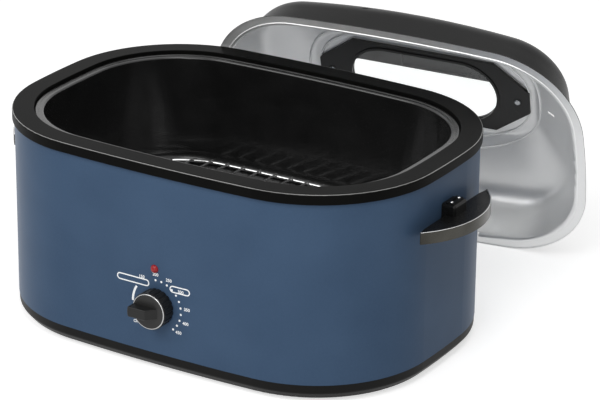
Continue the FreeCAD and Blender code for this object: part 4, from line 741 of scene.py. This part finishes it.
@dataclass
class LidDressing:
    """Baked paint outside the lid and the pressed beads inside it.

    The place turns the lid as drawn closed, about its own axis, to where it stands behind the body.
    """

    shop: Workshop
    place: Matrix = field(default_factory=lambda: Matrix.Translation((0.0598, 0.16469, 0.161489))
                          @ Matrix.Rotation(math.radians(9.44), 4, "Z")
                          @ Matrix.Rotation(math.radians(22.2 - 90.0), 4, "X")
                          @ Matrix.Rotation(math.radians(2.57), 4, "Z"))
    paint_depth: float = 0.00018
    paint_share: float = 0.6
    top_slope: float = 0.35
    side_slope: float = -0.05
    side_facing: float = 0.3
    hole_slope: float = 0.02
    hole_floor: float = 0.09
    bead_radius: float = 0.0013
    bead_sink: float = 0.0007
    bead_steps: int = 144
    bead_squareness: float = 0.82
    below: float = -0.05
    beads: tuple[tuple[float, float], ...] = ((0.158, 0.095), (0.144, 0.080))

    def shell(self) -> bmesh.types.BMesh:
        """Copy the lid's shell as drawn closed, its loose triangles joined.

        Returns:
            The shell about the lid's own axis, in metres.
        """
        mesh = bmesh.new()
        mesh.from_mesh(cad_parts["lid_shell"].data)
        bmesh.ops.transform(mesh, matrix=self.place.inverted(), verts=mesh.verts)
        bmesh.ops.remove_doubles(mesh, verts=mesh.verts, dist=1e-6)
        return mesh

    def painted(self, face: bmesh.types.BMFace) -> bool:
        """Tell whether a face of the shell lies outside, where the paint is.

        Args:
            face: Face of the shell about the lid's own axis.

        Returns:
            True for the top and the outer sides, but not for the walls of the holes.
        """
        middle = face.calc_center_median()
        level = face.normal.x * middle.x + face.normal.y * middle.y
        size = max(math.hypot(middle.x, middle.y), 1e-6)
        side = face.normal.z > self.side_slope and level / size > self.side_facing
        hole_wall = abs(face.normal.z) < self.hole_slope and middle.z > self.hole_floor
        return (face.normal.z > self.top_slope or side) and not hole_wall

    def paint(self) -> None:
        """Lift the shell's outer faces into a thin skin of paint, kept within the CAD box."""
        mesh = self.shell()
        mesh.normal_update()
        inner = [face for face in mesh.faces if not self.painted(face)]
        bmesh.ops.delete(mesh, geom=inner, context="FACES")
        mesh.normal_update()
        for vertex in mesh.verts:
            vertex.co += vertex.normal * self.paint_depth
        bmesh.ops.solidify(mesh, geom=mesh.faces[:], thickness=self.paint_depth * self.paint_share)
        bmesh.ops.transform(mesh, matrix=self.place, verts=mesh.verts)
        low, high = CAD_BOX
        for vertex in mesh.verts:
            vertex.co = Vector(min(max(value, least), most)
                               for value, least, most in zip(vertex.co, low, high))
        self.shop.piece("lid_paint", mesh, LID_PAINT, "lid", "black_enamel")

    def pressed(self) -> None:
        """Lay the beads on the shell's inner face, found from below."""
        shell = self.shell()
        tree = BVHTree.FromBMesh(shell)
        for index, (half_length, half_width) in enumerate(self.beads):
            path = []
            for step in range(self.bead_steps):
                turn = 2 * math.pi * step / self.bead_steps
                x = half_length * math.copysign(abs(math.cos(turn)) ** self.bead_squareness, math.cos(turn))
                y = half_width * math.copysign(abs(math.sin(turn)) ** self.bead_squareness, math.sin(turn))
                hit = tree.ray_cast(Vector((x, y, self.below)), Vector((0, 0, 1)))[0]
                if hit is not None:
                    path.append(hit - Vector((0, 0, self.bead_sink)))
            bead = tube(path, self.bead_radius, True)
            bmesh.ops.transform(bead, matrix=self.place, verts=bead.verts)
            self.shop.piece(f"lid_bead_{index + 1}", bead, LID_ALUMINIUM, "lid", "lid_aluminium")
        shell.free()

    def make(self) -> None:
        """Dress the lid."""
        self.paint()
        self.pressed()


@dataclass
class Studio:
    """Pale floor, soft lamps, white surroundings and the camera.

    Angles are in degrees and lengths in metres. A lamp is its name, place, side and power in watts.
    """

    azimuth: float = 31.4927
    elevation: float = 22.2395
    distance: float = 3.5551
    roll: float = 0.6083
    target: tuple[float, float, float] = (0.0778, BODY_Y, 0.1676)
    focal_px: float = 2951.7
    sensor: float = 36.0
    far_clip: float = 60.0
    lamp_aim: tuple[float, float, float] = (0.0, 0.0, 0.15)
    floor_half_size: float = 14.0
    floor_glow: float = 0.62
    fill_light: float = 0.27
    lamps: tuple[tuple[str, tuple[float, float, float], float, float], ...] = (
        ("key_lamp", (-1.6, -2.2, 2.6), 1.6, 34.0),
        ("top_lamp", (0.4, 0.3, 3.0), 2.2, 16.0),
        ("corner_lamp", (0.75, -2.4, 0.45), 0.45, 4.0),
        ("front_lamp", (0.6, -3.0, 2.0), 1.6, 19.0),
        ("lid_lamp", (0.5, -0.9, 1.4), 0.5, 5.0))

    def camera(self) -> None:
        """Put the camera at the picture's view."""
        a, e, r = (math.radians(value) for value in (self.azimuth, self.elevation, self.roll))
        back = Vector((math.sin(a) * math.cos(e), -math.cos(a) * math.cos(e), math.sin(e)))
        right = Vector((0, 0, 1)).cross(back).normalized()
        up = back.cross(right)
        right, up = math.cos(r) * right + math.sin(r) * up, -math.sin(r) * right + math.cos(r) * up
        data = bpy.data.cameras.new("camera")
        data.sensor_width = self.sensor
        data.sensor_fit = "HORIZONTAL"
        data.lens = self.sensor * self.focal_px / IMAGE_WIDTH
        data.clip_end = self.far_clip
        camera = bpy.data.objects.new("camera", data)
        bpy.context.scene.collection.objects.link(camera)
        place = Vector(self.target) + self.distance * back
        camera.matrix_world = Matrix((
            (right.x, up.x, back.x, place.x), (right.y, up.y, back.y, place.y),
            (right.z, up.z, back.z, place.z), (0, 0, 0, 1)))
        bpy.context.scene.camera = camera

    def lamp(self, name: str, place: tuple[float, float, float], size: float, power: float) -> None:
        """Hang one square soft lamp that faces the body.

        Args:
            name: Name of the lamp.
            place: Where it hangs, in metres.
            size: Side of the lamp, in metres.
            power: Power in watts.
        """
        data = bpy.data.lights.new(name, "AREA")
        data.shape = "SQUARE"
        data.size = size
        data.energy = power
        lamp = bpy.data.objects.new(name, data)
        bpy.context.scene.collection.objects.link(lamp)
        lamp.location = place
        aim = Vector(self.lamp_aim) - Vector(place)
        lamp.rotation_euler = aim.to_track_quat("-Z", "Y").to_euler()

    def floor(self) -> None:
        """Lay the floor, white to the camera and keeping the shadow."""
        mesh = bmesh.new()
        bmesh.ops.create_grid(mesh, x_segments=8, y_segments=8, size=self.floor_half_size)
        data = bpy.data.meshes.new("floor")
        mesh.to_mesh(data)
        mesh.free()
        material = bpy.data.materials.new("painted_white_floor")
        material.use_nodes = True
        tree = material.node_tree
        tree.nodes.clear()
        diffuse = add_node(tree, "ShaderNodeBsdfDiffuse", {"Color": linear("#E4E4E4")})
        seen = add_node(tree, "ShaderNodeMath", {"operation": "MULTIPLY", 1: self.floor_glow},
                        {0: seen_rays(tree)})
        glow = add_node(tree, "ShaderNodeEmission", {"Color": (1, 1, 1, 1)}, {"Strength": seen.outputs[0]})
        both = add_node(tree, "ShaderNodeAddShader", {}, {0: diffuse.outputs[0], 1: glow.outputs[0]})
        add_node(tree, "ShaderNodeOutputMaterial", {}, {"Surface": both.outputs[0]})
        data.materials.append(material)
        floor = bpy.data.objects.new("floor", data)
        bpy.context.scene.collection.objects.link(floor)

    def world(self) -> None:
        """Light evenly from all round, white where the camera or a reflection looks."""
        world = bpy.data.worlds.new("studio")
        bpy.context.scene.world = world
        world.use_nodes = True
        tree = world.node_tree
        tree.nodes.clear()
        level = add_node(tree, "ShaderNodeMapRange", {"To Min": self.fill_light, "To Max": 1.0},
                         {"Value": seen_rays(tree)})
        back = add_node(tree, "ShaderNodeBackground", {"Color": (1, 1, 1, 1)}, {"Strength": level.outputs[0]})
        add_node(tree, "ShaderNodeOutputWorld", {}, {"Surface": back.outputs[0]})

    def make(self) -> None:
        """Set up the studio."""
        bpy.context.scene.view_settings.view_transform = "Standard"
        self.camera()
        for name, place, size, power in self.lamps:
            self.lamp(name, place, size, power)
        self.floor()
        self.world()


def main() -> None:
    """Dress the nodes, make the pieces and set up the studio."""
    logging.basicConfig(level=logging.INFO, format="%(name)s: %(message)s")
    shop = Workshop()
    shop.dress_nodes()
    makers: list[Callable[[], None]] = [Studio().make, DialPrint(shop).make, KnobTrim(shop).make,
                                        HandleTrim(shop).make, CollarEdgeHighlight(shop).make,
                                        LidDressing(shop).make]
    for make in makers:
        make()


if __name__ == "__main__":
    main()
